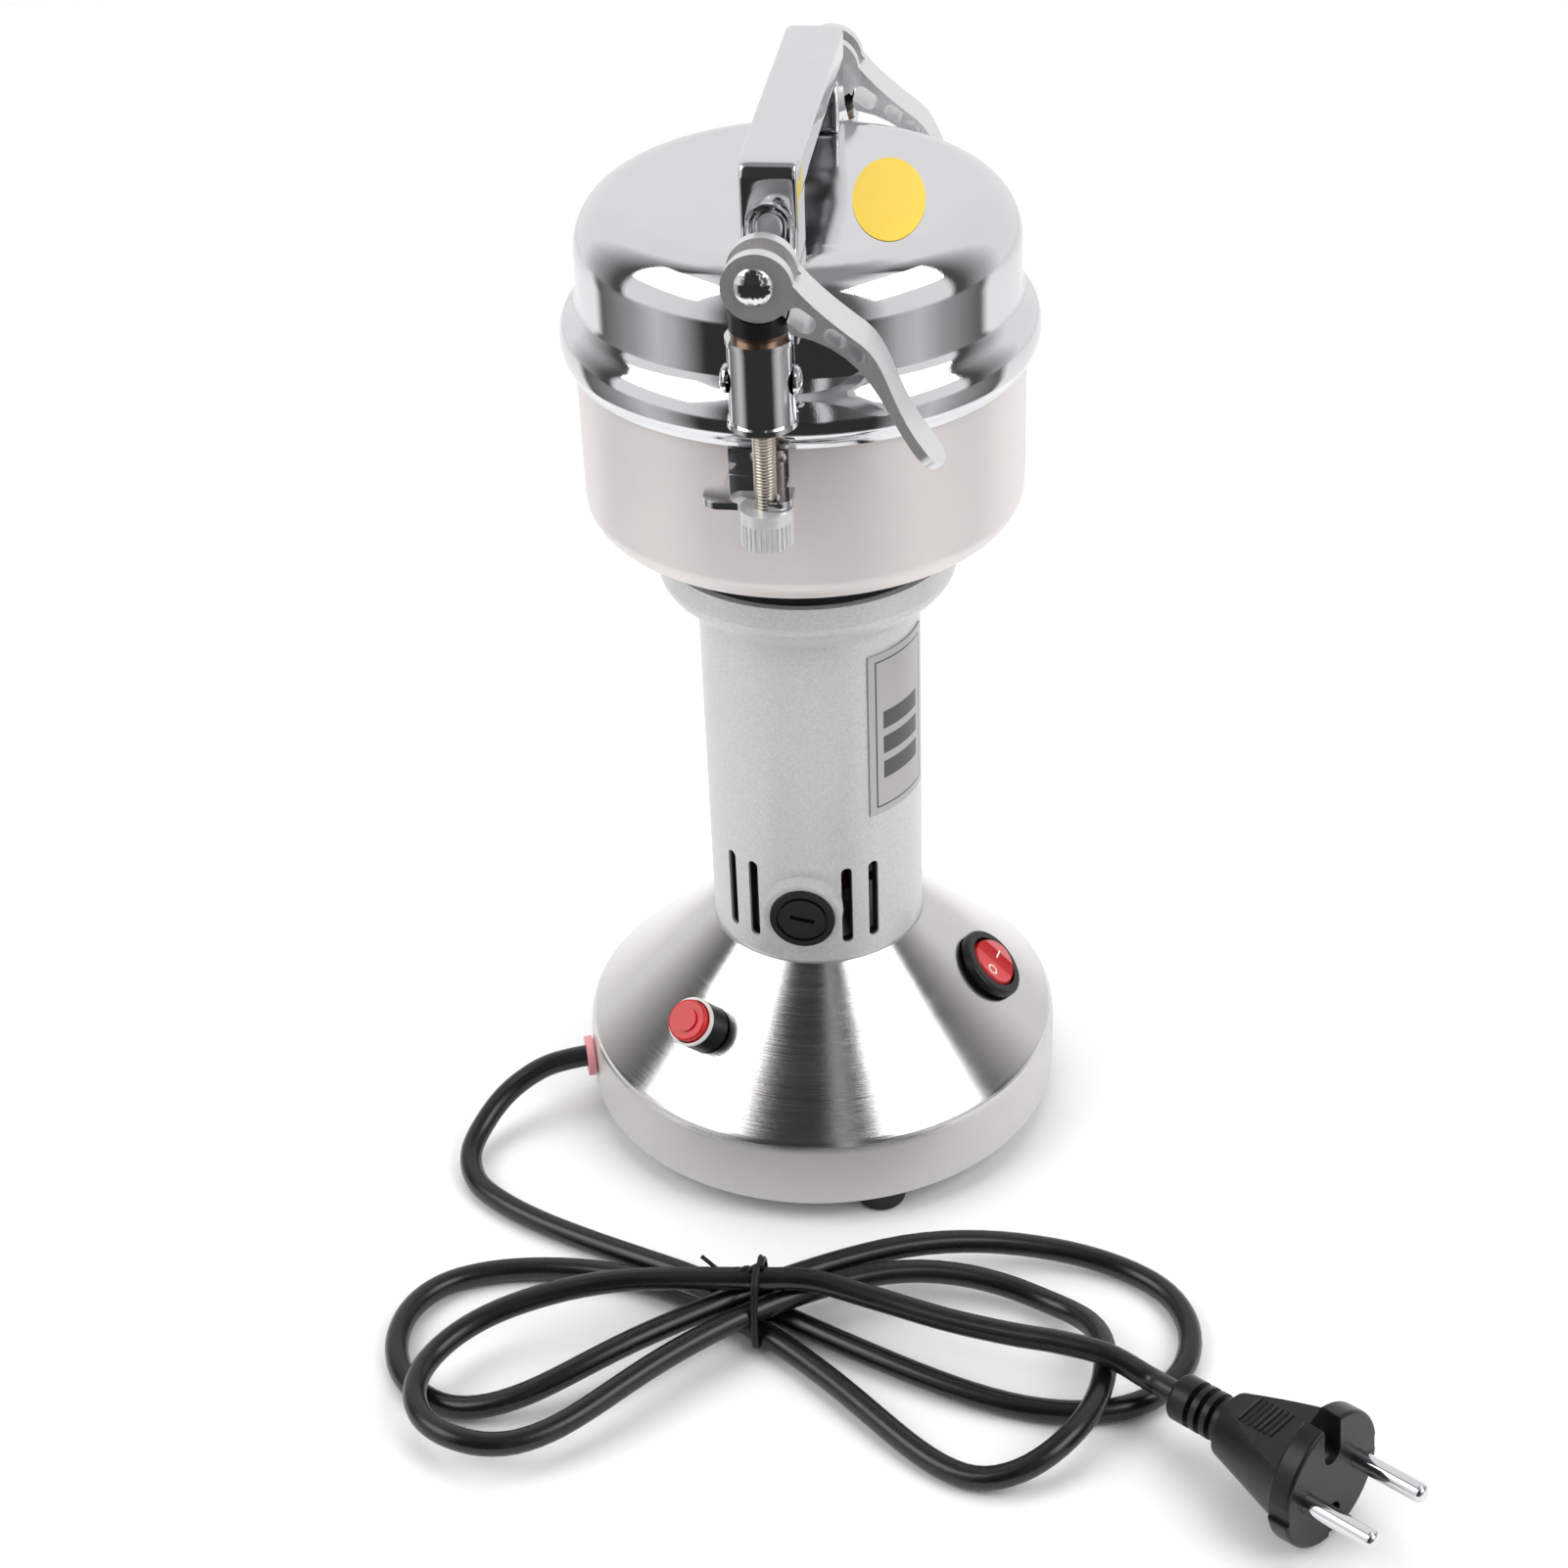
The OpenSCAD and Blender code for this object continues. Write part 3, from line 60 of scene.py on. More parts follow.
NODES = frame["nodes"]
BODY_OF = {node: body for body, nodes in frame["record"]["behaviour"]["bodies"].items() for node in nodes}
SLOT_OF = {part["node"]: part["material_slot"] for part in frame["record"]["subparts"]}
MM = 0.001

# Nodes whose look differs from the rest of their slot
FINISH_OF = {"bowl_seat": "seat_metal", "rating_plate": "plate_foil",
             "front_nut": "nut_metal", "rear_nut": "nut_metal"}

# Heights where the base's band turns into its cone, the column, and its rating plate's place and half width
BAND_TOP = 23 * MM
CONE_FOOT = 26.5 * MM
COLUMN_R = 28.5 * MM
PLATE_TURN = math.radians(-30)
PLATE_HALF_TURN = math.radians(23)

# The clamps' distance from the axis, their pin heads, levers and rods, and the room for a tab over a nut
CLAMP_R = 66.5 * MM
PIN_HEAD_R = 4.3 * MM
LEVER_HALF = 6 * MM
ROD_R = 2.5 * MM
ROD_DROP = 1.27 * MM
TAB_ROOM = 2.3 * MM

# The rocker's rest tilt and the hollow of its face
ROCKER_TILT = math.radians(7)
ROCKER_HOLLOW_R = 24 * MM
ROCKER_LOW = 3.2 * MM

# Angles above which an edge is rounded, and under which a bend is shaded as one skin
SHARP = math.radians(35)
SMOOTH_SKIN = math.radians(38)
SMOOTH_TRIM = math.radians(40)


# Settings a user would change

def colour(name, description, default):
    return FloatVectorProperty(name=name, description=description, subtype="COLOR", size=3, min=0, max=1,
                               default=default)


def length(name, description, default):
    return FloatProperty(name=name, description=description, unit="LENGTH", default=default)


def strength(name, description, default):
    return FloatProperty(name=name, description=description, unit="POWER", default=default)


class MillColours(PropertyGroup):
    """Colours of the mill's finishes."""
    steel: colour("Steel", "Bare stainless steel", (0.62, 0.61, 0.60))
    bowl: colour("Bowl steel", "Brushed steel of the bowl, a little warm", (0.79, 0.74, 0.72))
    polished: colour("Polished steel", "Mirror-polished lid and chrome", (0.70, 0.70, 0.72))
    paint: colour("Silver paint", "Paint of the motor column", (0.60, 0.60, 0.61))
    cast: colour("Cast metal", "Levers and knurled nuts", (0.70, 0.70, 0.71))
    plastic: colour("Black plastic", "Caps, bezel and plug", (0.008, 0.008, 0.009))
    rubber: colour("Black rubber", "Feet, gasket and cord", (0.010, 0.010, 0.011))
    red: colour("Red", "Rocker and reset key", (0.62, 0.010, 0.012))
    yellow: colour("Yellow", "Oval sticker on the lid", (0.90, 0.62, 0.02))
    pink: colour("Pink", "Cord grommet", (0.80, 0.30, 0.32))
    bronze: colour("Bronze", "Thrust washers", (0.22, 0.145, 0.10))
    copper: colour("Copper", "Windings and commutator", (0.62, 0.25, 0.11))


class MillSizes(PropertyGroup):
    """Sizes of the pieces that are made here."""
    cord: length("Cord", "Diameter of the mains cord", 6 * MM)
    wire: length("Tie wire", "Diameter of the tie's wire", 1.1 * MM)
    sticker_length: length("Sticker length", "Long axis of the oval sticker", 50 * MM)
    sticker_width: length("Sticker width", "Short axis of the oval sticker", 17 * MM)
    pitch: length("Thread pitch", "Rise of the clamp rods' thread in one turn", 0.8 * MM)
    thread: length("Thread", "Thickness of the rolled thread's ridge", 0.4 * MM)
    edge: length("Edge", "Rounding of bent and cut edges", 0.8 * MM)
    cast_grain: length("Casting grain", "Mesh size that rounds the cast handle", 0.5 * MM)


class MillStage(PropertyGroup):
    """Camera and light."""
    key: strength("Side boxes", "Strength of the two front soft boxes", 9.5)
    top: strength("Top box", "Strength of the overhead soft box", 10)
    lens: FloatProperty(name="Lens", description="Camera lens", unit="CAMERA", default=65.87)
    floor: length("Floor", "Size of the floor", 4)


def settings():
    scene = bpy.context.scene
    return scene.mill_colours, scene.mill_sizes, scene.mill_stage


# Shader building

class Sock:
    """A shader socket that takes part in sums. Each sum adds one Math node."""

    def __init__(self, finish, socket):
        self.finish = finish
        self.socket = socket

    def __add__(self, other):
        return self.finish.maths("ADD", self, other)

    def __sub__(self, other):
        return self.finish.maths("SUBTRACT", self, other)

    def __rsub__(self, other):
        return self.finish.maths("SUBTRACT", other, self)

    def __mul__(self, other):
        return self.finish.maths("MULTIPLY", self, other)

    def __pow__(self, other):
        return self.finish.maths("POWER", self, other)

    def __gt__(self, other):
        return self.finish.maths("GREATER_THAN", self, other)

    def __lt__(self, other):
        return self.finish.maths("LESS_THAN", self, other)

    def __abs__(self):
        return self.finish.maths("ABSOLUTE", self)

    __radd__ = __add__
    __rmul__ = __mul__


class Finish:
    """One material: a Principled shader and the nodes that feed it."""
    kind = "materials"
    fed_shader = "Principled BSDF"

    def __init__(self, name):
        self.owner = getattr(bpy.data, self.kind).new(name)
        self.owner.use_nodes = True
        self.tree = self.owner.node_tree
        self.shader = self.tree.nodes[self.fed_shader]

    def node(self, kind, options=None, inputs=None, output=0):
        made = self.tree.nodes.new(kind)
        options = dict(options or {})
        stops = options.pop("stops", None)
        for key, value in options.items():
            setattr(made, key, value)
        if stops:
            ramp = made.color_ramp.elements
            ramp[0].position = stops[0][0]
            ramp[1].position = stops[-1][0]
            for place, _ in stops[1:-1]:
                ramp.new(place)
            for element, (_, level) in zip(ramp, stops):
                element.color = (*level, 1)
        self.feed(made, inputs or {})
        return Sock(self, made.outputs[output])

    def feed(self, made, inputs):
        for key, value in inputs.items():
            socket = made.inputs[key]
            if isinstance(value, Sock):
                self.tree.links.new(value.socket, socket)
            elif socket.type == "RGBA" and len(value) == 3:
                socket.default_value = (*value, 1)
            else:
                socket.default_value = value

    def set(self, **inputs):
        """Feeds the shader's sockets, named in small letters."""
        titles = {key: key.replace("_", " ").title().replace("Ior", "IOR") for key in inputs}
        self.feed(self.shader, {titles[key]: value for key, value in inputs.items()})
        return self

    def maths(self, operation, first, second=0.0):
        return self.node("ShaderNodeMath", {"operation": operation}, {0: first, 1: second})

    def place(self):
        return self.node("ShaderNodeTexCoord", output=3)

    def axes(self, at=None):
        split = self.node("ShaderNodeSeparateXYZ", inputs={0: at or self.place()})
        return [Sock(self, socket) for socket in split.socket.node.outputs]

    def vector(self, x, y, z):
        return self.node("ShaderNodeCombineXYZ", inputs={0: x, 1: y, 2: z})

    def noise(self, scale, detail=3.0, rough=0.5, at=None):
        return self.node("ShaderNodeTexNoise", inputs={"Vector": at or self.place(), "Scale": scale,
                                                       "Detail": detail, "Roughness": rough})

    def mix(self, mask, low, high):
        return self.node("ShaderNodeMix", {"data_type": "RGBA"}, {0: mask, 6: low, 7: high}, output=2)

    def mottle(self, mask, tint, low, high):
        """A tint that wanders between two shades of itself."""
        return self.mix(mask, shade(tint, low), shade(tint, high))

    def fade(self, value, low, high):
        return self.node("ShaderNodeMapRange", {"interpolation_type": "SMOOTHSTEP"},
                         {"Value": value, "From Min": low, "From Max": high})

    def bump(self, height, strength, distance):
        return self.node("ShaderNodeBump", inputs={"Height": height, "Strength": strength,
                                                   "Distance": distance})

    def round_about(self):
        """Distance from the motor axis, turn about it, and height."""
        x, y, z = self.axes()
        return (x * x + y * y) ** 0.5, self.maths("ARCTAN2", y, x), z


class Surround(Finish):
    """The world's light, fed by nodes as a material is."""
    kind = "worlds"
    fed_shader = "Background"


def joint_named(name):
    return next(item for item in frame["joints"] if item["name"] == name)


def shade(tint, factor):
    return tuple(min(1.0, channel * factor) for channel in tint)


# Finishes

def ringed(finish, tint, rough, patchy=0.06, metal=1.0):
    """Feeds a finish the fine rings round the motor axis that spun or turned sheet shows."""
    radius, turn, height = finish.round_about()
    rings = finish.noise(1.0, 2.0, 0.6, finish.vector(radius * 5200, height * 5200, turn * 1.5))
    clouds = finish.noise(38.0, 4.0, 0.6)
    finish.set(base_color=finish.mottle(clouds, tint, 0.93, 1.05), metallic=metal,
               roughness=rough + (rings - 0.5) * 0.22 + (clouds - 0.5) * patchy)
    return finish.set(normal=finish.bump(rings, 0.12, 0.0002))


def turned_steel(name, tint, rough, patchy=0.06, metal=1.0):
    """Steel of one even polish, with fine rings."""
    return ringed(Finish(name), tint, rough, patchy, metal)


def spun_base(name, tint):
    """Spun base: a bright cone over a duller, finely ringed band."""
    finish = Finish(name)
    _, _, height = finish.axes()
    cone = finish.fade(height, BAND_TOP, CONE_FOOT)
    return ringed(finish, tint, 0.15 + (1 - cone) * 0.26, metal=0.22 + cone * 0.78)


def polished_lid(name, tint):
    """Mirror-polished side and bead with a faintly hazed top."""
    finish = Finish(name)
    radius, turn, height = finish.round_about()
    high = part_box("lid_shell")[1].z
    top = finish.fade(height, high - 2.2 * MM, high - 0.6 * MM)
    smear = finish.noise(46.0, 5.0, 0.62)
    grain = finish.noise(1.0, 2.0, 0.6, finish.vector(radius * 900, turn * 160, height * 900))
    finish.set(base_color=finish.mottle(smear, tint, 0.95, 1.04), metallic=1.0,
               roughness=0.055 + top * 0.05 + (smear - 0.5) * 0.07 + (grain - 0.5) * 0.05)
    return finish.set(normal=finish.bump(grain, 0.03, 0.0002))


def chrome(name, tint, rough=0.06):
    """Bright plating with faint smears."""
    finish = Finish(name)
    smear = finish.noise(90.0, 5.0, 0.6)
    wave = finish.noise(30.0, 1.0)
    finish.set(base_color=finish.mottle(smear, tint, 0.95, 1.05), metallic=1.0,
               roughness=rough + (smear - 0.4) * 0.08)
    return finish.set(normal=finish.bump(wave, 0.06, 0.001))


def silver_paint(name, tint):
    """Metallic paint: fine flakes under a thin coat, and painted shade, near black, on the casting inside the
    paint's radius, which darkens the vent slots.
    """
    finish = Finish(name)
    radius, _, _ = finish.round_about()
    # Painted shade mask: 1 below the paint's radius, where the vent slots open into the column
    painted_slot_shade = finish.fade(radius, COLUMN_R - 0.5 * MM, COLUMN_R - 1.0 * MM)
    flake = finish.node("ShaderNodeTexVoronoi", inputs={"Vector": finish.place(), "Scale": 2600.0}, output=1)
    spark = finish.node("ShaderNodeSeparateColor", inputs={0: flake})
    peel = finish.noise(700.0, 2.0)
    paint = finish.mottle(spark, tint, 0.90, 1.08)
    # Painted shade: below the paint's radius the colour is near black, to darken the vent slots
    finish.set(base_color=finish.mix(painted_slot_shade, paint, (0.02, 0.02, 0.02)), metallic=0.22,
               roughness=0.40 + (spark - 0.5) * 0.12, coat_weight=0.15)
    return finish.set(normal=finish.bump(peel, 0.05, 0.0003))


def cast_metal(name, tint):
    """Brushed light alloy with hair scratches, and polished pin heads where it carries a pin."""
    finish = Finish(name)
    x, y, z = finish.axes()
    brush = finish.noise(1.0, 2.0, 0.55, finish.vector(x * 1900 + z * 500, y * 300, z * 90))
    grain = finish.noise(900.0, 3.0)
    off = z - joint_named("front_lever_swing")["pos_m"][2]
    near = (x * x + off * off) ** 0.5 < PIN_HEAD_R + 0.1 * MM
    head = near * (abs(abs(y) - CLAMP_R) > LEVER_HALF + 0.02 * MM)
    finish.set(base_color=finish.mottle(grain, tint, 0.98, 1.08), metallic=0.80 + head * 0.20,
               roughness=(0.30 + (brush - 0.5) * 0.14) * (1 - head) + head * 0.07)
    return finish.set(normal=finish.bump(brush * 0.7 + grain * 0.3, 0.05, 0.0002))


def knurled_alloy(name, tint):
    """Pale turned alloy, matt in the grooves of its knurl."""
    finish = Finish(name)
    grain = finish.noise(1400.0, 3.0)
    finish.set(base_color=finish.mottle(grain, tint, 1.0, 1.2), metallic=0.50,
               roughness=0.34 + (grain - 0.5) * 0.16)
    return finish.set(normal=finish.bump(grain, 0.05, 0.0002))


def threaded_steel(name, tint):
    """Rolled thread: painted shade in the groove that winds up the rod, where it is also a little glossier."""
    finish = Finish(name)
    x, y, z = finish.axes()
    _, size, _ = settings()
    side = finish.maths("SIGN", y) * (abs(y) - CLAMP_R)
    turn = finish.maths("ARCTAN2", side, x) * (0.5 / math.pi)
    groove = finish.maths("PINGPONG", z * (1 / size.pitch) - turn, 0.5)
    # Painted shade: the colour falls to 0.35 of the tint at the bottom of the groove
    painted_groove_shade = finish.fade(groove, 0.0, 0.22)
    finish.set(base_color=finish.mottle(painted_groove_shade, tint, 0.35, 1.0), metallic=1.0, roughness=0.32 - painted_groove_shade * 0.1)
    return finish.set(normal=finish.bump(groove, 0.5, 0.0004))


def plain_metal(name, tint, rough):
    """Simple machined or pressed metal."""
    finish = Finish(name)
    grain = finish.noise(220.0, 4.0, 0.6)
    finish.set(base_color=finish.mottle(grain, tint, 0.85, 1.1), metallic=1.0,
               roughness=rough + (grain - 0.5) * 0.2)
    return finish.set(normal=finish.bump(grain, 0.08, 0.0003))


def laminated_core(name, tint):
    """Stacked sheet steel, half a millimetre a sheet."""
    finish = Finish(name)
    _, _, z = finish.axes()
    sheet = finish.maths("PINGPONG", z * 1000, 0.25) * 4
    rust = finish.noise(120.0, 4.0)
    finish.set(base_color=finish.mottle(rust, tint, 0.7, 1.2), metallic=0.8,
               roughness=0.5 + (rust - 0.5) * 0.2)
    return finish.set(normal=finish.bump(sheet, 0.4, 0.0003))


def wound_copper(name, tint):
    """Enamelled copper wire."""
    finish = Finish(name)
    _, turn, height = finish.round_about()
    winding = finish.maths("PINGPONG", height * 1600 + turn * 6, 0.5) * 2
    dirt = finish.noise(150.0, 3.0)
    finish.set(base_color=finish.mottle(dirt, tint, 0.75, 1.1), metallic=1.0,
               roughness=0.3 + (dirt - 0.5) * 0.1, coat_weight=0.4)
    return finish.set(normal=finish.bump(winding, 0.5, 0.0003))


def moulded_plastic(name, tint, rough=0.32, texture=900.0):
    """Moulded plastic with a fine spark-eroded texture."""
    finish = Finish(name)
    pebble = finish.noise(texture, 3.0, 0.55)
    dust = finish.noise(60.0, 4.0)
    finish.set(base_color=finish.mottle(dust, tint, 0.8, 1.6), roughness=rough + (dust - 0.5) * 0.12,
               specular_ior_level=0.28)
    return finish.set(normal=finish.bump(pebble, 0.12, 0.0002))


def soft_rubber(name, tint, rough=0.55, gloss=0.3):
    """Rubber and soft jacket with faint rub marks."""
    finish = Finish(name)
    rub = finish.noise(75.0, 5.0, 0.6)
    grain = finish.noise(1300.0, 2.0)
    finish.set(base_color=finish.mottle(rub, tint, 0.8, 1.5), roughness=rough + (rub - 0.5) * 0.2,
               specular_ior_level=gloss)
    return finish.set(normal=finish.bump(grain, 0.10, 0.0002))


def red_lens(name, tint, clear):
    """Clear red plastic with a little depth."""
    finish = Finish(name)
    flow = finish.noise(240.0, 3.0)
    finish.set(base_color=finish.mottle(flow, tint, 0.8, 1.25), roughness=0.12 + flow * 0.06,
               transmission_weight=clear, ior=1.49, specular_ior_level=0.3, coat_weight=0.12)
    return finish.set(normal=finish.bump(flow, 0.04, 0.0003))


def rocker_axes():
    """The rocker's pivot, and the ways along it, across it and out of the base."""
    joint = joint_named("rocker_tip")
    hinge = Vector(joint["axis"]).normalized()
    proud = (Vector((0, 0, 1)) - hinge * hinge.z).normalized()
    return Vector(joint["pos_m"]), hinge, proud.cross(hinge), proud


def rocker_lens(name, tint):
    """Red rocker with painted light: painted shade in its hollow, a painted lighter red on its lit lower end and a
    painted pale pink reflection on its upper end.
    """
    finish = red_lens(name, tint, 0.12)
    pivot, _, across, _ = rocker_axes()
    x, y, z = finish.axes()
    along = x * across.x + y * across.y + z * across.z - pivot.dot(across)
    # Painted light masks: the lit lower end, and the upper end that carries a painted reflection
    painted_light_end = finish.fade(along, -0.5 * MM, -1.1 * MM)
    painted_reflection_end = finish.fade(along, 3.0 * MM, 3.5 * MM)
    # Painted shade in the hollow (0.85 of the tint), painted light on the lower end, and a painted pale pink
    # reflection on the upper end
    ends = finish.mix(painted_light_end, shade(tint, 0.85), (0.72, 0.055, 0.06))
    return finish.set(base_color=finish.mix(painted_reflection_end, ends, (0.80, 0.22, 0.22)))


def foil_plate(name, tint):
    """Bare foil plate with a thin printed border and three plain bars."""
    border_in, bar_in, bar_half = 2.2 * MM, 4.4 * MM, 2.6 * MM
    bar_rises = (-11 * MM, -3.5 * MM, 4 * MM)
    finish = Finish(name)
    _, turn, height = finish.round_about()
    low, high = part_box("rating_plate")
    up = height - (low.z + high.z) / 2
    across = abs(turn - PLATE_TURN) * COLUMN_R
    half_w = PLATE_HALF_TURN * COLUMN_R
    half_h = (high.z - low.z) / 2
    border = finish.maths("MAXIMUM", across - half_w, abs(up) - half_h) + border_in
    line = finish.fade(abs(border), 0.30 * MM, 0.18 * MM)
    bars = sum(abs(up - rise) < bar_half for rise in bar_rises) * (across < half_w - bar_in)
    printed = finish.maths("MAXIMUM", line, bars)
    grain = finish.noise(1.0, 2.0, 0.6, finish.vector(turn * 40, height * 4000, 0.0))
    return finish.set(base_color=finish.mix(printed, shade(tint, 0.70), (0.06, 0.06, 0.065)),
                      metallic=0.75 - printed * 0.7, roughness=0.34 + (grain - 0.5) * 0.14)


def vinyl(name, tint):
    """Printed vinyl, a little uneven and slightly glossy."""
    finish = Finish(name)
    uneven = finish.noise(110.0, 4.0)
    finish.set(base_color=finish.mottle(uneven, tint, 0.94, 1.04), roughness=0.36 + (uneven - 0.5) * 0.12)
    return finish.set(normal=finish.bump(finish.noise(320.0, 2.0), 0.05, 0.0003))


def mill_finishes():
    """The finish of each of the record's material slots."""
    tint, _, _ = settings()
    return {
        "base_steel": spun_base("spun_base_steel", tint.steel),
        "bowl_steel": turned_steel("brushed_bowl_steel", tint.bowl, 0.40, 0.10, 0.40),
        "lid_steel": polished_lid("polished_lid_steel", tint.polished),
        "column_metal": silver_paint("silver_column_paint", tint.paint),
        "seat_metal": turned_steel("turned_seat_steel", tint.polished, 0.14),
        "plate_foil": foil_plate("plate_foil", tint.steel),
        "handle_metal": chrome("handle_chrome", tint.polished),
        "bright_steel": chrome("bright_plating", tint.polished, 0.09),
        "rod_steel": threaded_steel("thread_steel", (0.66, 0.60, 0.52)),
        "lever_metal": cast_metal("lever_alloy", tint.cast),
        "nut_metal": knurled_alloy("nut_alloy", tint.cast),
        "blade_steel": plain_metal("ground_blade_steel", tint.steel, 0.22),
        "hidden_steel": plain_metal("zinc_steel", (0.50, 0.50, 0.50), 0.38),
        "core_steel": laminated_core("motor_core_sheet", (0.20, 0.20, 0.21)),
        "copper": wound_copper("enamelled_copper", tint.copper),
        "brass": plain_metal("brush_brass", (0.62, 0.44, 0.18), 0.3),
        "carbon": moulded_plastic("brush_carbon", (0.03, 0.03, 0.03), 0.6, 1500.0),
        "washer_bronze": plain_metal("washer_bronze", tint.bronze, 0.3),
        "black_plastic": moulded_plastic("black_moulding", tint.plastic),
        "black_rubber": soft_rubber("black_rubber", tint.rubber),
        "cord_jacket": soft_rubber("cord_jacket", shade(tint.rubber, 0.5), 0.27, 0.5),
        "seal_rubber": soft_rubber("seal_rubber", (0.75, 0.75, 0.72)),
        "grommet_rubber": soft_rubber("grommet_rubber", tint.pink, 0.4),
        "rocker_red": rocker_lens("rocker_red", tint.red),
        "button_red": red_lens("reset_red", tint.red, 0.10),
        "ring_white": moulded_plastic("ring_white", (0.80, 0.80, 0.78), 0.3),
        "sticker": vinyl("sticker_vinyl", tint.yellow),
        "mark_white": vinyl("switch_mark", (0.82, 0.80, 0.78)),
    }


FINISHES = {}


def wear(piece, finish_name):
    """Gives a piece its finish as its only material."""
    piece.data.materials.clear()
    piece.data.materials.append(FINISHES[finish_name].owner)


# Modelling helpers

def only(*pieces):
    """Selects these pieces and nothing else, the first one active."""
    if bpy.context.object and bpy.context.object.mode != "OBJECT":
        bpy.ops.object.mode_set(mode="OBJECT")
    bpy.ops.object.select_all(action="DESELECT")
    for piece in pieces:
        piece.select_set(True)
    bpy.context.view_layer.objects.active = pieces[0]


def edit_all(piece):
    """Opens a piece in edit mode with all of it selected."""
    only(piece)
    bpy.ops.object.mode_set(mode="EDIT")
    bpy.ops.mesh.select_all(action="SELECT")


def close_edit():
    bpy.ops.object.mode_set(mode="OBJECT")


def apply_modifiers(piece):
    only(piece)
    for modifier in list(piece.modifiers):
        bpy.ops.object.modifier_apply(modifier=modifier.name)


def settle(piece, name, body, finish_name):
    """Names a finished piece, applies its place, and hands it to its body."""
    only(piece)
    bpy.ops.object.transform_apply(location=True, rotation=True, scale=True)
    piece.name = piece.data.name = name
    wear(piece, finish_name)
    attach(piece, body)
    return piece


def stand_in(node, name):
    """A merged copy of a CAD node, which stands for the node."""
    piece = bpy.data.objects.new(name, NODES[node].data.copy())
    piece.data.name = name
    bpy.context.scene.collection.objects.link(piece)
    edit_all(piece)
    bpy.ops.mesh.remove_doubles(threshold=0.01 * MM)
    close_edit()
    wear(piece, FINISH_OF.get(node, SLOT_OF[node]))
    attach(piece, BODY_OF[node])
    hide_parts(node)
    return piece


def softened(node, round_by=0.0):
    """Rounds a node's sharp edges, and shades its curved walls as one smooth skin."""
    piece = stand_in(node, node + "_rounded")
    edit_all(piece)
    bpy.ops.mesh.dissolve_limited(angle_limit=math.radians(0.8))
    close_edit()
    if round_by:
        edge = piece.modifiers.new("edge", "BEVEL")
        edge.width = round_by
        edge.segments = 3
        edge.limit_method = "ANGLE"
        edge.angle_limit = SHARP
        edge.use_clamp_overlap = True
        apply_modifiers(piece)
    only(piece)
    bpy.ops.object.shade_smooth_by_angle(angle=SMOOTH_SKIN)
    weigh = piece.modifiers.new("weigh", "WEIGHTED_NORMAL")
    weigh.keep_sharp = True
    apply_modifiers(piece)
    return piece


def cast_round(node, grain, passes):
    """Rounds every edge of a casting, by meshing it evenly and smoothing it."""
    piece = stand_in(node, node + "_cast")
    even = piece.modifiers.new("even", "REMESH")
    even.mode = "VOXEL"
    even.voxel_size = grain
    soft = piece.modifiers.new("soft", "SMOOTH")
    soft.factor = 0.5
    soft.iterations = passes
    apply_modifiers(piece)
    only(piece)
    bpy.ops.object.shade_smooth()
    return piece


def wire(name, points, diameter):
    """A round wire through points, as a mesh."""
    bpy.ops.curve.primitive_bezier_curve_add()
    path = bpy.context.object
    path.data.splines.clear()
    spline = path.data.splines.new("NURBS")
    spline.points.add(len(points) - 1)
    for knot, point in zip(spline.points, points):
        knot.co = (*point, 1)
    spline.use_endpoint_u = True
    spline.order_u = 3
    path.data.bevel_depth = diameter / 2
    path.data.bevel_resolution = 3
    path.data.use_fill_caps = True
    only(path)
    bpy.ops.object.convert(target="MESH")
    piece = bpy.context.object
    piece.name = name
    bpy.ops.object.shade_smooth()
    return piece


# Cord, in millimetres: the same way over the table that the solids take
CORD_R = 3.0
PLUG_D = 35.0
PLUG_LENGTH = 45.0
PLUG_DISC = 6.0
PLUG_GAP = 0.05
PLUG_TURN = math.radians(-38)
PLUG_TILT = math.radians(5)
PLUG_Z = PLUG_D / 2 * math.cos(PLUG_TILT) + (PLUG_DISC - PLUG_LENGTH) * math.sin(PLUG_TILT) + PLUG_GAP
PLUG_AT = Vector((102.2, -132.7, PLUG_Z))
PLUG_WAY = Vector((math.cos(PLUG_TURN) * math.cos(PLUG_TILT), math.sin(PLUG_TURN) * math.cos(PLUG_TILT),
                   math.sin(PLUG_TILT)))
TIE_AT = (-4, -106)
LEAD_WAY = [(-58, -18.8, 17), (-67, -21.8, 17), (-76, -25.5, 15.6), (-84.5, -31.5, 11.5), (-90, -40, 7),
            (-92, -50, 4), (-88, -60, 3), (-79.5, -67.5, 3), (-68, -74, 3), (-54, -80, 3), (-40, -85.5, 3.3),
            (-26, -91.3, 4), (-13, -97.3, 4.3), (-4, -101.8, 4.3)]
TAIL_WAY = [(-4, -106, 17.9), (9.5, -105.2, 17.6), (26, -108.4, 16), (44, -113.4, 15.3), (60, -117.3, 15.7),
            (73, -120, 16.5), (84.5, -122.9, 16.2)] + [PLUG_AT - back * PLUG_WAY for back in (10, 5, 0)]
WAY_STEPS = 6

# Hank: lobes as reach, half width and turn, the lane and layer of each pass through the tie, and the
# crossings, where the cord climbs over itself, as place, flat and ramp
LOBES = [(109, 27, -1), (93, 28, 10.7), (89, 31, -12), (89.4, 19, 27.4)]
LANES = (4.2, 4.2, -4.2, -4.2, 0)
LAYERS = (0, 1, 0, 1, 2)
LAYER_H = 6.8
LAYER_SPAN = (0.1, 0.2)
LAYER_SLOPE = 0.05
TIE_LIFT = 1.3
TIE_SPAN = (0.08, 0.15)
CROSSINGS = ((2.5, 0.06, 0.2), (3.5, 0.1, 0.3))
LOBE_STEPS = 64


def smooth(t):
    s = min(1, max(0, t))
    return s * s * (3 - 2 * s)


def plateau(v, flat, ramp):
    return smooth((flat + ramp - abs(v)) / ramp)


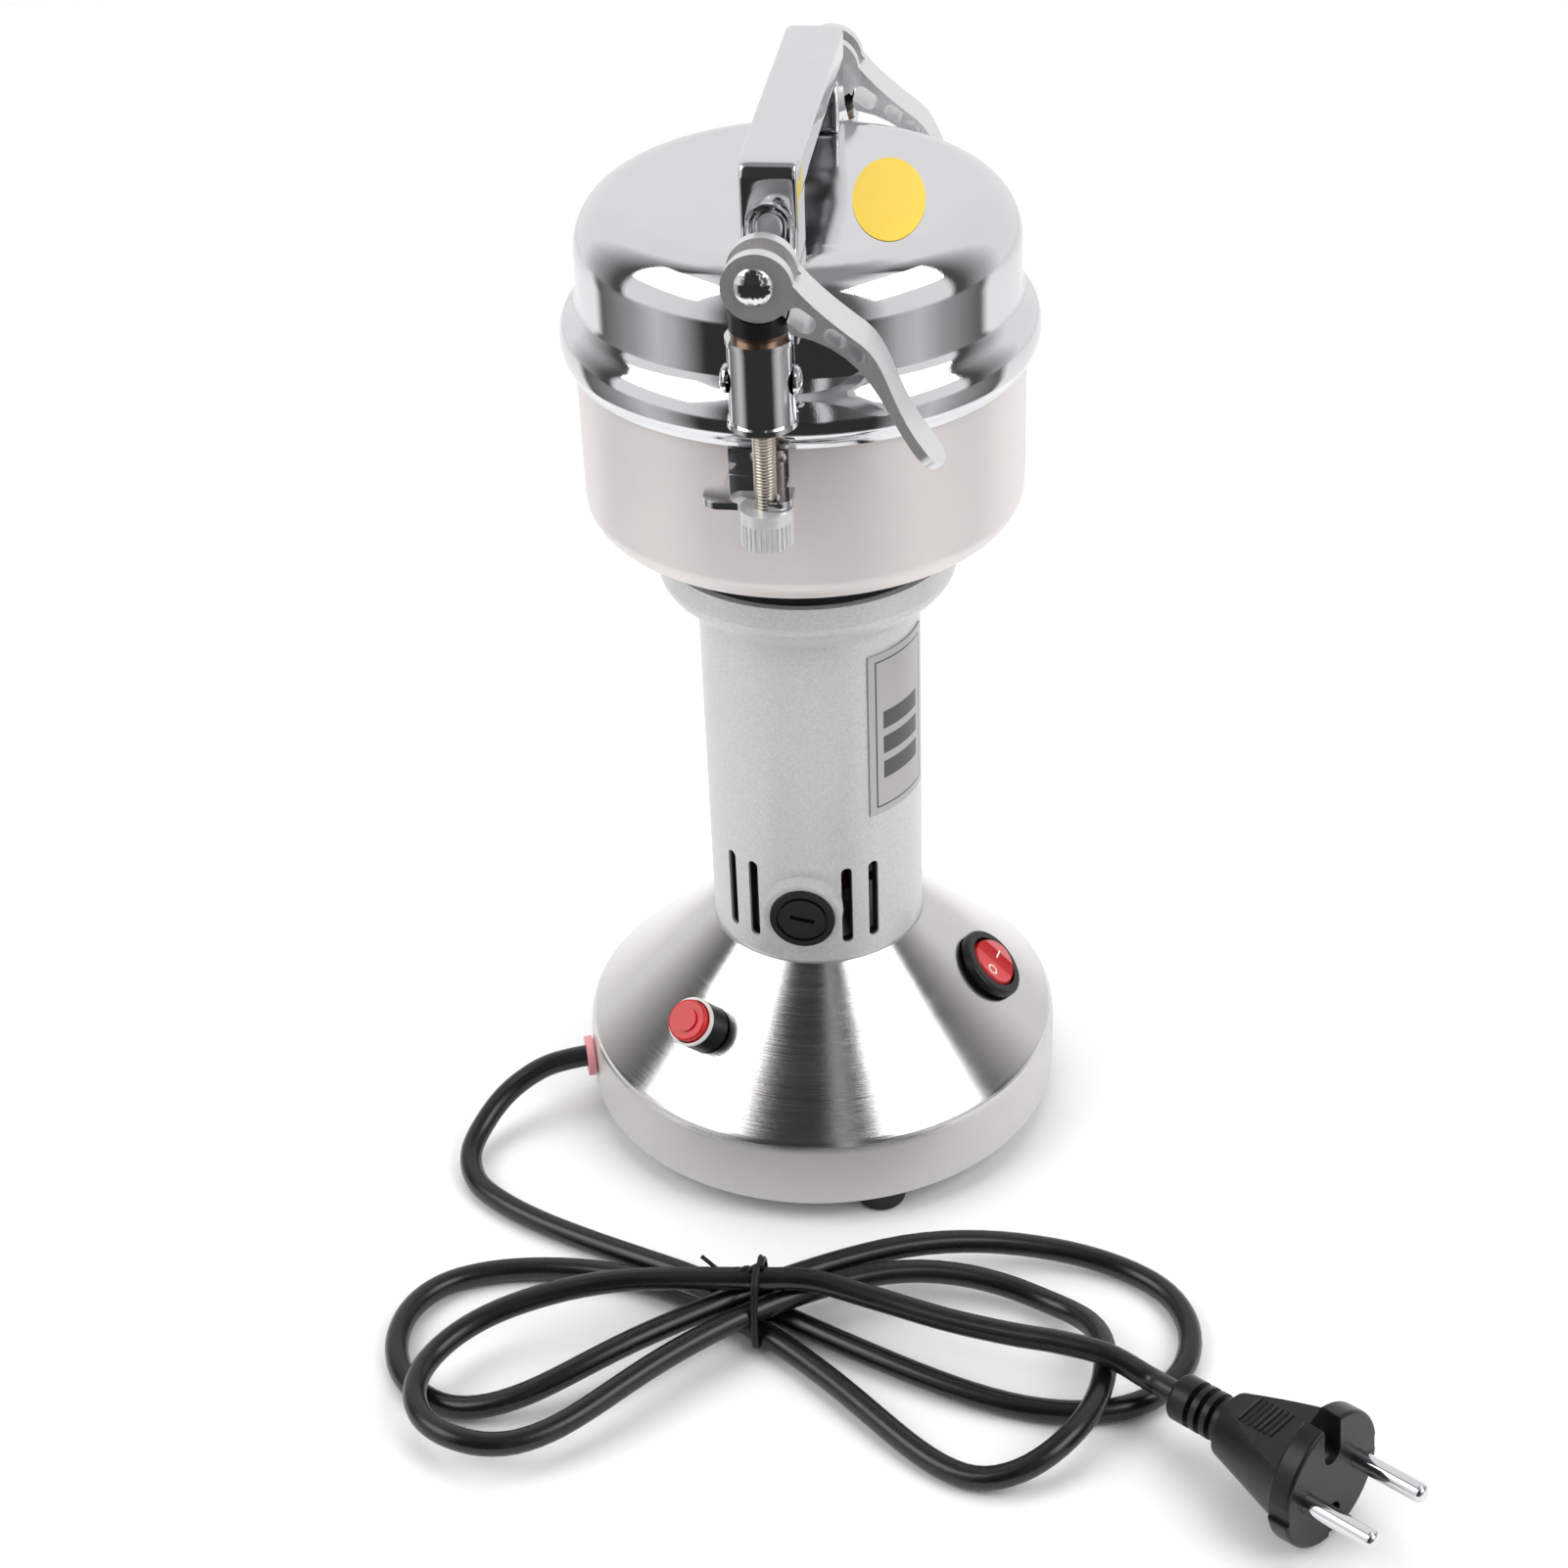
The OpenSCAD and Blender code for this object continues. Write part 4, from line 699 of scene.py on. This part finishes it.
def lobe(u, i):
    """One measure of the lobe at this place, blended into the next one near the tie."""
    k = min(3, max(0, math.floor(u - 0.5)))
    s = smooth((u - k - 0.7) / 0.6)
    return LOBES[k][i] * (1 - s) + LOBES[min(3, k + 1)][i] * s


def lane(u):
    """Sideways place in the hank, blended from one pass through the tie to the next."""
    k = min(3, math.floor(u))
    s = smooth((u - k - 0.1) / 0.8)
    return LANES[k] * (1 - s) + LANES[k + 1] * s


def hank_at(u):
    """A point of the hank, with u counted in lobes."""
    near = math.floor(u + 0.5)
    x = lobe(u, 0) * math.sin(math.pi * u)
    y = -lobe(u, 1) * math.sin(2 * math.pi * u)
    a = math.radians(lobe(u, 2))
    level_flat, level_ramp = LAYER_SPAN
    z = (CORD_R + TIE_LIFT * plateau(u - near, *TIE_SPAN)
         + LAYERS[near] * LAYER_H * plateau(u - near, level_flat, level_ramp + LAYER_SLOPE * LAYERS[near])
         + LAYER_H * max(plateau(u - place, flat, ramp) for place, flat, ramp in CROSSINGS))
    return (TIE_AT[0] + x * math.cos(a) - y * math.sin(a),
            TIE_AT[1] + lane(u) + x * math.sin(a) + y * math.cos(a), z)


def curve_through(way, steps):
    """A smooth curve through given points."""
    points = [Vector(p) for p in way]
    out = []
    for i in range(len(points) - 1):
        a, b = points[max(i - 1, 0)], points[i]
        c, d = points[i + 1], points[min(i + 2, len(points) - 1)]
        for k in range(steps):
            t = k / steps
            out.append(b + 0.5 * t * (c - a + t * (2 * a - 5 * b + 4 * c - d + t * (3 * (b - c) + d - a))))
    return out + [points[-1]]


def cord_points():
    """The whole cord from the base to the plug, in metres."""
    lead = curve_through(LEAD_WAY, WAY_STEPS)
    hank = [Vector(hank_at(i / LOBE_STEPS)) for i in range(1, len(LOBES) * LOBE_STEPS)]
    tail = curve_through(TAIL_WAY, WAY_STEPS)
    return [p * MM for p in lead + hank + tail]


class MILL_OT_finishes(Operator):
    """Give every CAD node its finish"""
    bl_idname = "mill.finishes"
    bl_label = "Finishes"

    def execute(self, context):
        FINISHES.update(mill_finishes())
        for node, piece in NODES.items():
            wear(piece, FINISH_OF.get(node, SLOT_OF[node]))
        return {"FINISHED"}


class MILL_OT_stage(Operator):
    """Set the floor, the soft boxes, the surrounding light and the camera"""
    bl_idname = "mill.stage"
    bl_label = "Stage"

    # Soft boxes: azimuth, rise, distance, width, height, setting of the strength, and if metal mirrors them
    BOXES = {"left_box": (-66, 42, 1.6, 1.1, 0.9, "key", True),
             "right_box": (66, 42, 1.6, 1.1, 0.9, "key", True),
             "top_box": (180, 74, 1.8, 1.4, 1.4, "top", False)}
    AIM = Vector((0, 0, 0.12))
    UNDER_FEET = -0.4 * MM

    # Grey levels by the way from the object, in shares of half a turn from the front: the room's quarters on
    # both sides, its dark front with a lit slit, and the far end of the floor on both sides
    ROOM_SIDE = [(0.28, 0.90), (0.48, 0.95), (0.50, 0.08), (0.53, 0.10), (0.62, 0.50), (0.70, 0.95),
                 (1, 0.95)]
    ROOM_FRONT = [(-0.22, 0.75), (-0.15, 0.05), (0.07, 0.04), (0.085, 0.70), (0.105, 0.70), (0.12, 0.08),
                  (0.20, 0.16)]
    FLOOR_SIDE = [(0.22, 0.03), (0.31, 0.42), (0.37, 0.52), (0.45, 0.32), (0.60, 0.12), (0.635, 0.88),
                  (1, 0.90)]
    ZENITH = (0.35, 0.35, 0.36)
    WHITE = (1, 1, 1)

    # Camera, from a fit to the object's own edges: place, pitch, yaw, roll and azimuth, and shift
    CAMERA_AT = Vector((86.0, -632.4, 524.6)) * MM
    CAMERA_TURNS = (34.01, -0.53, -2.13, 7.74)
    CAMERA_SHIFT = (-0.0061, 0.0085)
    SENSOR_W = 36

    def execute(self, context):
        _, _, stage = settings()
        bpy.ops.mesh.primitive_plane_add(size=stage.floor, location=(0, 0, self.UNDER_FEET))
        floor = bpy.context.object
        floor.name = "studio_floor"
        floor.data.materials.append(self.floor_finish(stage).owner)
        for name, box in self.BOXES.items():
            self.soft_box(stage, name, *box)
        self.surround(context)
        self.camera(context, stage)
        context.scene.view_settings.view_transform = "Standard"
        return {"FINISHED"}

    def soft_box(self, stage, name, azimuth, rise, far, across, tall, power, mirrored):
        turn, lift = math.radians(azimuth), math.radians(rise)
        way = Vector((math.sin(turn) * math.cos(lift), -math.cos(turn) * math.cos(lift), math.sin(lift)))
        bpy.ops.object.light_add(type="AREA", location=self.AIM + way * far,
                                 rotation=(-way).to_track_quat("-Z", "Y").to_euler())
        lamp = bpy.context.object
        lamp.name = name
        lamp.data.shape = "RECTANGLE"
        lamp.data.size = across
        lamp.data.size_y = tall
        lamp.data.energy = getattr(stage, power)
        lamp.visible_glossy = mirrored

    def bands(self, finish, x, y, side, front=()):
        """A grey level for each way from the object, from the back round the left, front and right."""
        turn = finish.maths("ARCTAN2", x, 0 - y) * (0.5 / math.pi) + 0.5
        levels = [(-place, level) for place, level in reversed(side)] + list(front) + side
        stops = [(0.5 + 0.5 * place, (level,) * 3) for place, level in levels]
        return finish.node("ShaderNodeValToRGB", {"stops": stops}, {0: turn})

    def floor_finish(self, stage):
        """White to the camera and faded out far off, and ending in the darker room to what mirrors it."""
        ground = Finish("pale_floor")
        radius, _, _ = ground.round_about()
        x, y, _ = ground.axes()
        path = ground.node("ShaderNodeLightPath").socket.node.outputs
        mirrored = Sock(ground, path["Is Glossy Ray"]) * ground.fade(radius, 0.28, 0.37)
        room = self.bands(ground, x, y, self.FLOOR_SIDE)
        return ground.set(base_color=ground.mix(mirrored, self.WHITE, room), roughness=0.9,
                          specular_ior_level=0.0,
                          alpha=ground.fade(radius, stage.floor * 0.45, stage.floor * 0.24))

    def surround(self, context):
        """White behind the object to the camera, and the room's grey levels to everything else."""
        sky = Surround("studio_surround")
        context.scene.world = sky.owner
        x, y, z = sky.axes(sky.node("ShaderNodeTexCoord", output=0))
        room = self.bands(sky, x, y, self.ROOM_SIDE, self.ROOM_FRONT)
        level = sky.mix(sky.fade(z, 0.86, 0.97), room, self.ZENITH)
        camera_ray = sky.node("ShaderNodeLightPath")
        sky.set(color=sky.mix(camera_ray, level, self.WHITE), strength=1.0)

    def camera(self, context, stage):
        """The photograph's view."""
        pitch, yaw, roll, azimuth = (math.radians(angle) for angle in self.CAMERA_TURNS)
        ahead = Vector((math.sin(yaw) * math.cos(pitch), math.cos(yaw) * math.cos(pitch), -math.sin(pitch)))
        right = ahead.cross(Vector((0, 0, 1))).normalized()
        up = right.cross(ahead)
        tilted = math.cos(roll) * right + math.sin(roll) * up
        level = -math.sin(roll) * right + math.cos(roll) * up
        turn = Matrix.Rotation(azimuth, 3, "Z")
        axes = Matrix((turn @ tilted, turn @ level, turn @ -ahead)).transposed()
        bpy.ops.object.camera_add()
        camera = bpy.context.object
        camera.matrix_world = Matrix.Translation(self.CAMERA_AT) @ axes.to_4x4()
        camera.data.lens = stage.lens
        camera.data.sensor_width = self.SENSOR_W
        camera.data.shift_x, camera.data.shift_y = self.CAMERA_SHIFT
        camera.data.clip_start = 0.01
        context.scene.camera = camera


class MILL_OT_tie(Operator):
    """Wind the wire tie round the waist of the hank and twist its ends"""
    bl_idname = "mill.tie"
    bl_label = "Wire tie"

    def execute(self, context):
        _, size, _ = settings()
        low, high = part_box("cord_tie")
        middle = (low + high) / 2
        r = size.wire / 2
        half = (high.y - low.y) / 2 - r
        top = high.z - r
        wires = [wire("tie_loop", self.loop(middle, half, r, top), size.wire)]
        for side in (-1, 1):
            wires.append(wire("tie_end", self.twist(middle, top, side), size.wire))
        only(*wires)
        bpy.ops.object.join()
        piece = settle(bpy.context.object, "wire_tie", "housing", "black_plastic")
        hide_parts("cord_tie")
        return {"FINISHED"}

    def loop(self, middle, half, low, top):
        """Twice round the waist from the top: drawn in above, upright at the sides and flat below."""
        turns, drift = 2, 1.6 * MM
        side = [(half * 0.75, low), (half, 3.5 * MM), (half, 12.5 * MM), (5.8 * MM, top - 0.6 * MM)]
        outline = [(0, top)] + [(-across, up) for across, up in reversed(side)] + side
        last = turns * len(outline)
        points = []
        for i in range(last + 1):
            across, up = outline[i % len(outline)]
            points.append((middle.x + (i / last - 0.5) * drift, middle.y + across, up))
        return points

    def twist(self, middle, top, side):
        """One end of the wire, which winds round the other end and then stands off."""
        winds, stride, wide, tall = 9, 1.1 * MM, 0.7 * MM, 0.6 * MM
        points = [(middle.x, middle.y + 1.0 * MM * side, top - 0.2 * MM)]
        for i in range(1, winds + 1):
            a = math.radians(80 * i + (0 if side > 0 else 180))
            up = top - (0.4 + 0.3 * i) * MM + tall * math.sin(a)
            points.append((middle.x - stride * i, middle.y + wide * math.cos(a), up))
        points.append((middle.x - 15 * MM, middle.y + 3.5 * MM * side, top - (1.0 if side > 0 else 3.2) * MM))
        return points


class MILL_OT_cord(Operator):
    """Lay the mains cord along its way from the base, round the tied hank, to the plug"""
    bl_idname = "mill.cord"
    bl_label = "Cord"

    def execute(self, context):
        _, size, _ = settings()
        points = cord_points()
        path = bpy.data.curves.new("mains_cord", "CURVE")
        path.dimensions = "3D"
        spline = path.splines.new("POLY")
        spline.points.add(len(points) - 1)
        for knot, point in zip(spline.points, points):
            knot.co = (*point, 1)
        path.bevel_depth = size.cord / 2
        path.bevel_resolution = 6
        path.use_fill_caps = True
        piece = bpy.data.objects.new("mains_cord", path)
        context.scene.collection.objects.link(piece)
        wear(piece, "cord_jacket")
        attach(piece, "housing")
        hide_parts("cord_lead", "cord_hank", "cord_tail")
        total = sum((b - a).length for a, b in zip(points, points[1:]))
        plug = softened("plug_body")
        return {"FINISHED"}


class MILL_OT_threads(Operator):
    """Wind the ridge of the rolled thread up both clamp rods"""
    bl_idname = "mill.threads"
    bl_label = "Rod threads"

    def execute(self, context):
        _, size, _ = settings()
        steps = 20
        for end in ("front", "rear"):
            low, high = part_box(end + "_nut")
            middle = (low + high) / 2
            first = math.ceil((high.z + TAB_ROOM) / size.pitch)
            turns = math.floor((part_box("clamp_sleeves")[0].z + ROD_DROP) / size.pitch) - first
            points = []
            for i in range(turns * steps + 1):
                a = 2 * math.pi * i / steps
                rise = size.pitch * (i / steps + 0.5 + first)
                points.append((middle.x + ROD_R * math.cos(a), middle.y + ROD_R * math.sin(a), rise))
            ridge = wire(end + "_thread", points, size.thread)
            settle(ridge, end + "_rod_thread", BODY_OF[end + "_rod"], "rod_steel")
        return {"FINISHED"}


class MILL_OT_edges(Operator):
    """Round the sharp edges of cast, bent and moulded pieces"""
    bl_idname = "mill.edges"
    bl_label = "Rounded edges"

    # Shares of the edge setting, nodes that are only shaded smooth, and passes over the cast handle
    ROUNDED = {"front_lever": 0.6, "rear_lever": 0.6, "front_bracket": 0.5, "rear_bracket": 0.5,
               "switch_housing": 0.3, "rocker": 0.6}
    SMOOTHED = ("lid_shell", "bowl", "bowl_seat", "clamp_sleeves", "reset_collar", "reset_button",
                "rubber_feet")
    HANDLE_PASSES = 30

    def execute(self, context):
        _, size, _ = settings()
        for node, share in self.ROUNDED.items():
            softened(node, size.edge * share)
        for node in self.SMOOTHED:
            softened(node)
        cast_round("handle", size.cast_grain, self.HANDLE_PASSES)
        return {"FINISHED"}


class MILL_OT_sticker(Operator):
    """Stick the plain oval label on the lid, over the edge of its shoulder"""
    bl_idname = "mill.sticker"
    bl_label = "Oval sticker"

    MIDDLE = (22.6 * MM, -6.7 * MM)
    TURN = math.radians(5.6)
    DROP_FROM = 4 * MM
    GLUE = 0.04 * MM
    THICKNESS = 0.1 * MM

    def execute(self, context):
        _, size, _ = settings()
        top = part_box("lid_shell")[1].z
        above = (*self.MIDDLE, top + self.DROP_FROM)
        bpy.ops.mesh.primitive_circle_add(vertices=64, radius=1, fill_type="NOTHING", location=above,
                                          rotation=(0, 0, self.TURN))
        piece = bpy.context.object
        piece.scale = (size.sticker_width / 2, size.sticker_length / 2, 1)
        only(piece)
        bpy.ops.object.transform_apply(location=True, rotation=True, scale=True)
        edit_all(piece)
        bpy.ops.mesh.fill_grid(span=16)
        close_edit()
        lay = piece.modifiers.new("lay", "SHRINKWRAP")
        lay.target = NODES["lid_shell"]
        lay.wrap_method = "PROJECT"
        lay.use_project_z = True
        lay.use_negative_direction = True
        lay.use_positive_direction = False
        lay.offset = self.GLUE
        thick = piece.modifiers.new("thick", "SOLIDIFY")
        thick.thickness = self.THICKNESS
        thick.offset = 1
        apply_modifiers(piece)
        bpy.ops.object.shade_smooth_by_angle(angle=SMOOTH_TRIM)
        settle(piece, "oval_sticker", "lid", "sticker")
        return {"FINISHED"}


class MILL_OT_marks(Operator):
    """Print the round and the straight mark on the rocker's two faces"""
    bl_idname = "mill.marks"
    bl_label = "Switch marks"

    # Places across the rocker, the ring's radius and line, the bar's width and length, and how flat both are
    ROUND_AT = -3.4 * MM
    STRAIGHT_AT = 2.9 * MM
    RING_R = 1.35 * MM
    RING_LINE = 0.26 * MM
    BAR_W = 0.5 * MM
    BAR_LENGTH = 2.7 * MM
    BAR_EDGE = 0.06 * MM
    FLATNESS = 0.4

    def execute(self, context):
        bpy.ops.mesh.primitive_torus_add(major_radius=self.RING_R, minor_radius=self.RING_LINE,
                                         major_segments=40, minor_segments=8)
        self.print_mark("rocker_mark_round", self.ROUND_AT)
        bpy.ops.mesh.primitive_cube_add(size=1, scale=(self.BAR_W, self.BAR_LENGTH, self.BAR_W))
        self.print_mark("rocker_mark_straight", self.STRAIGHT_AT, self.BAR_EDGE)
        return {"FINISHED"}

    def print_mark(self, name, place, round_by=0.0):
        """Flattens the new mark, rounds its edges and lays it on the hollow of the rocker's face."""
        piece = bpy.context.object
        only(piece)
        bpy.ops.object.transform_apply(location=False, rotation=False, scale=True)
        edit_all(piece)
        bpy.ops.transform.resize(value=(1, 1, self.FLATNESS))
        if round_by:
            bpy.ops.mesh.bevel(offset=round_by, segments=2)
        close_edit()
        bpy.ops.object.shade_smooth_by_angle(angle=SMOOTH_TRIM)
        pivot, hinge, across, proud = rocker_axes()
        rest = Matrix((hinge, across, proud)).transposed() @ Matrix.Rotation(ROCKER_TILT, 3, "X")
        dip = math.asin(place / ROCKER_HOLLOW_R)
        up = ROCKER_LOW + ROCKER_HOLLOW_R * (1 - math.cos(dip))
        turned = rest @ Matrix.Rotation(dip, 3, "X")
        piece.matrix_world = Matrix.Translation(pivot + rest @ Vector((0, place, up))) @ turned.to_4x4()
        settle(piece, name, BODY_OF["rocker"], "mark_white")


class MILL_PT_panel(Panel):
    """Lists the mill's settings and the steps that dress it"""
    bl_label = "Mill"
    bl_idname = "MILL_PT_panel"
    bl_space_type = "VIEW_3D"
    bl_region_type = "UI"
    bl_category = "Mill"

    def draw(self, context):
        for step in STEPS:
            self.layout.operator(step.bl_idname)
        for group in settings():
            box = self.layout.box()
            for key in group.__annotations__:
                box.prop(group, key)


STEPS = (MILL_OT_finishes, MILL_OT_stage, MILL_OT_tie, MILL_OT_cord, MILL_OT_threads, MILL_OT_edges,
         MILL_OT_sticker, MILL_OT_marks)
CLASSES = (MillColours, MillSizes, MillStage) + STEPS + (MILL_PT_panel,)


def register():
    for item in CLASSES:
        bpy.utils.register_class(item)
    bpy.types.Scene.mill_colours = PointerProperty(type=MillColours)
    bpy.types.Scene.mill_sizes = PointerProperty(type=MillSizes)
    bpy.types.Scene.mill_stage = PointerProperty(type=MillStage)


def unregister():
    del bpy.types.Scene.mill_colours, bpy.types.Scene.mill_sizes, bpy.types.Scene.mill_stage
    for item in reversed(CLASSES):
        bpy.utils.unregister_class(item)


def main():
    register()
    for step in STEPS:
        group, name = step.bl_idname.split(".")
        getattr(getattr(bpy.ops, group), name)()


if __name__ == "__main__":
    main()
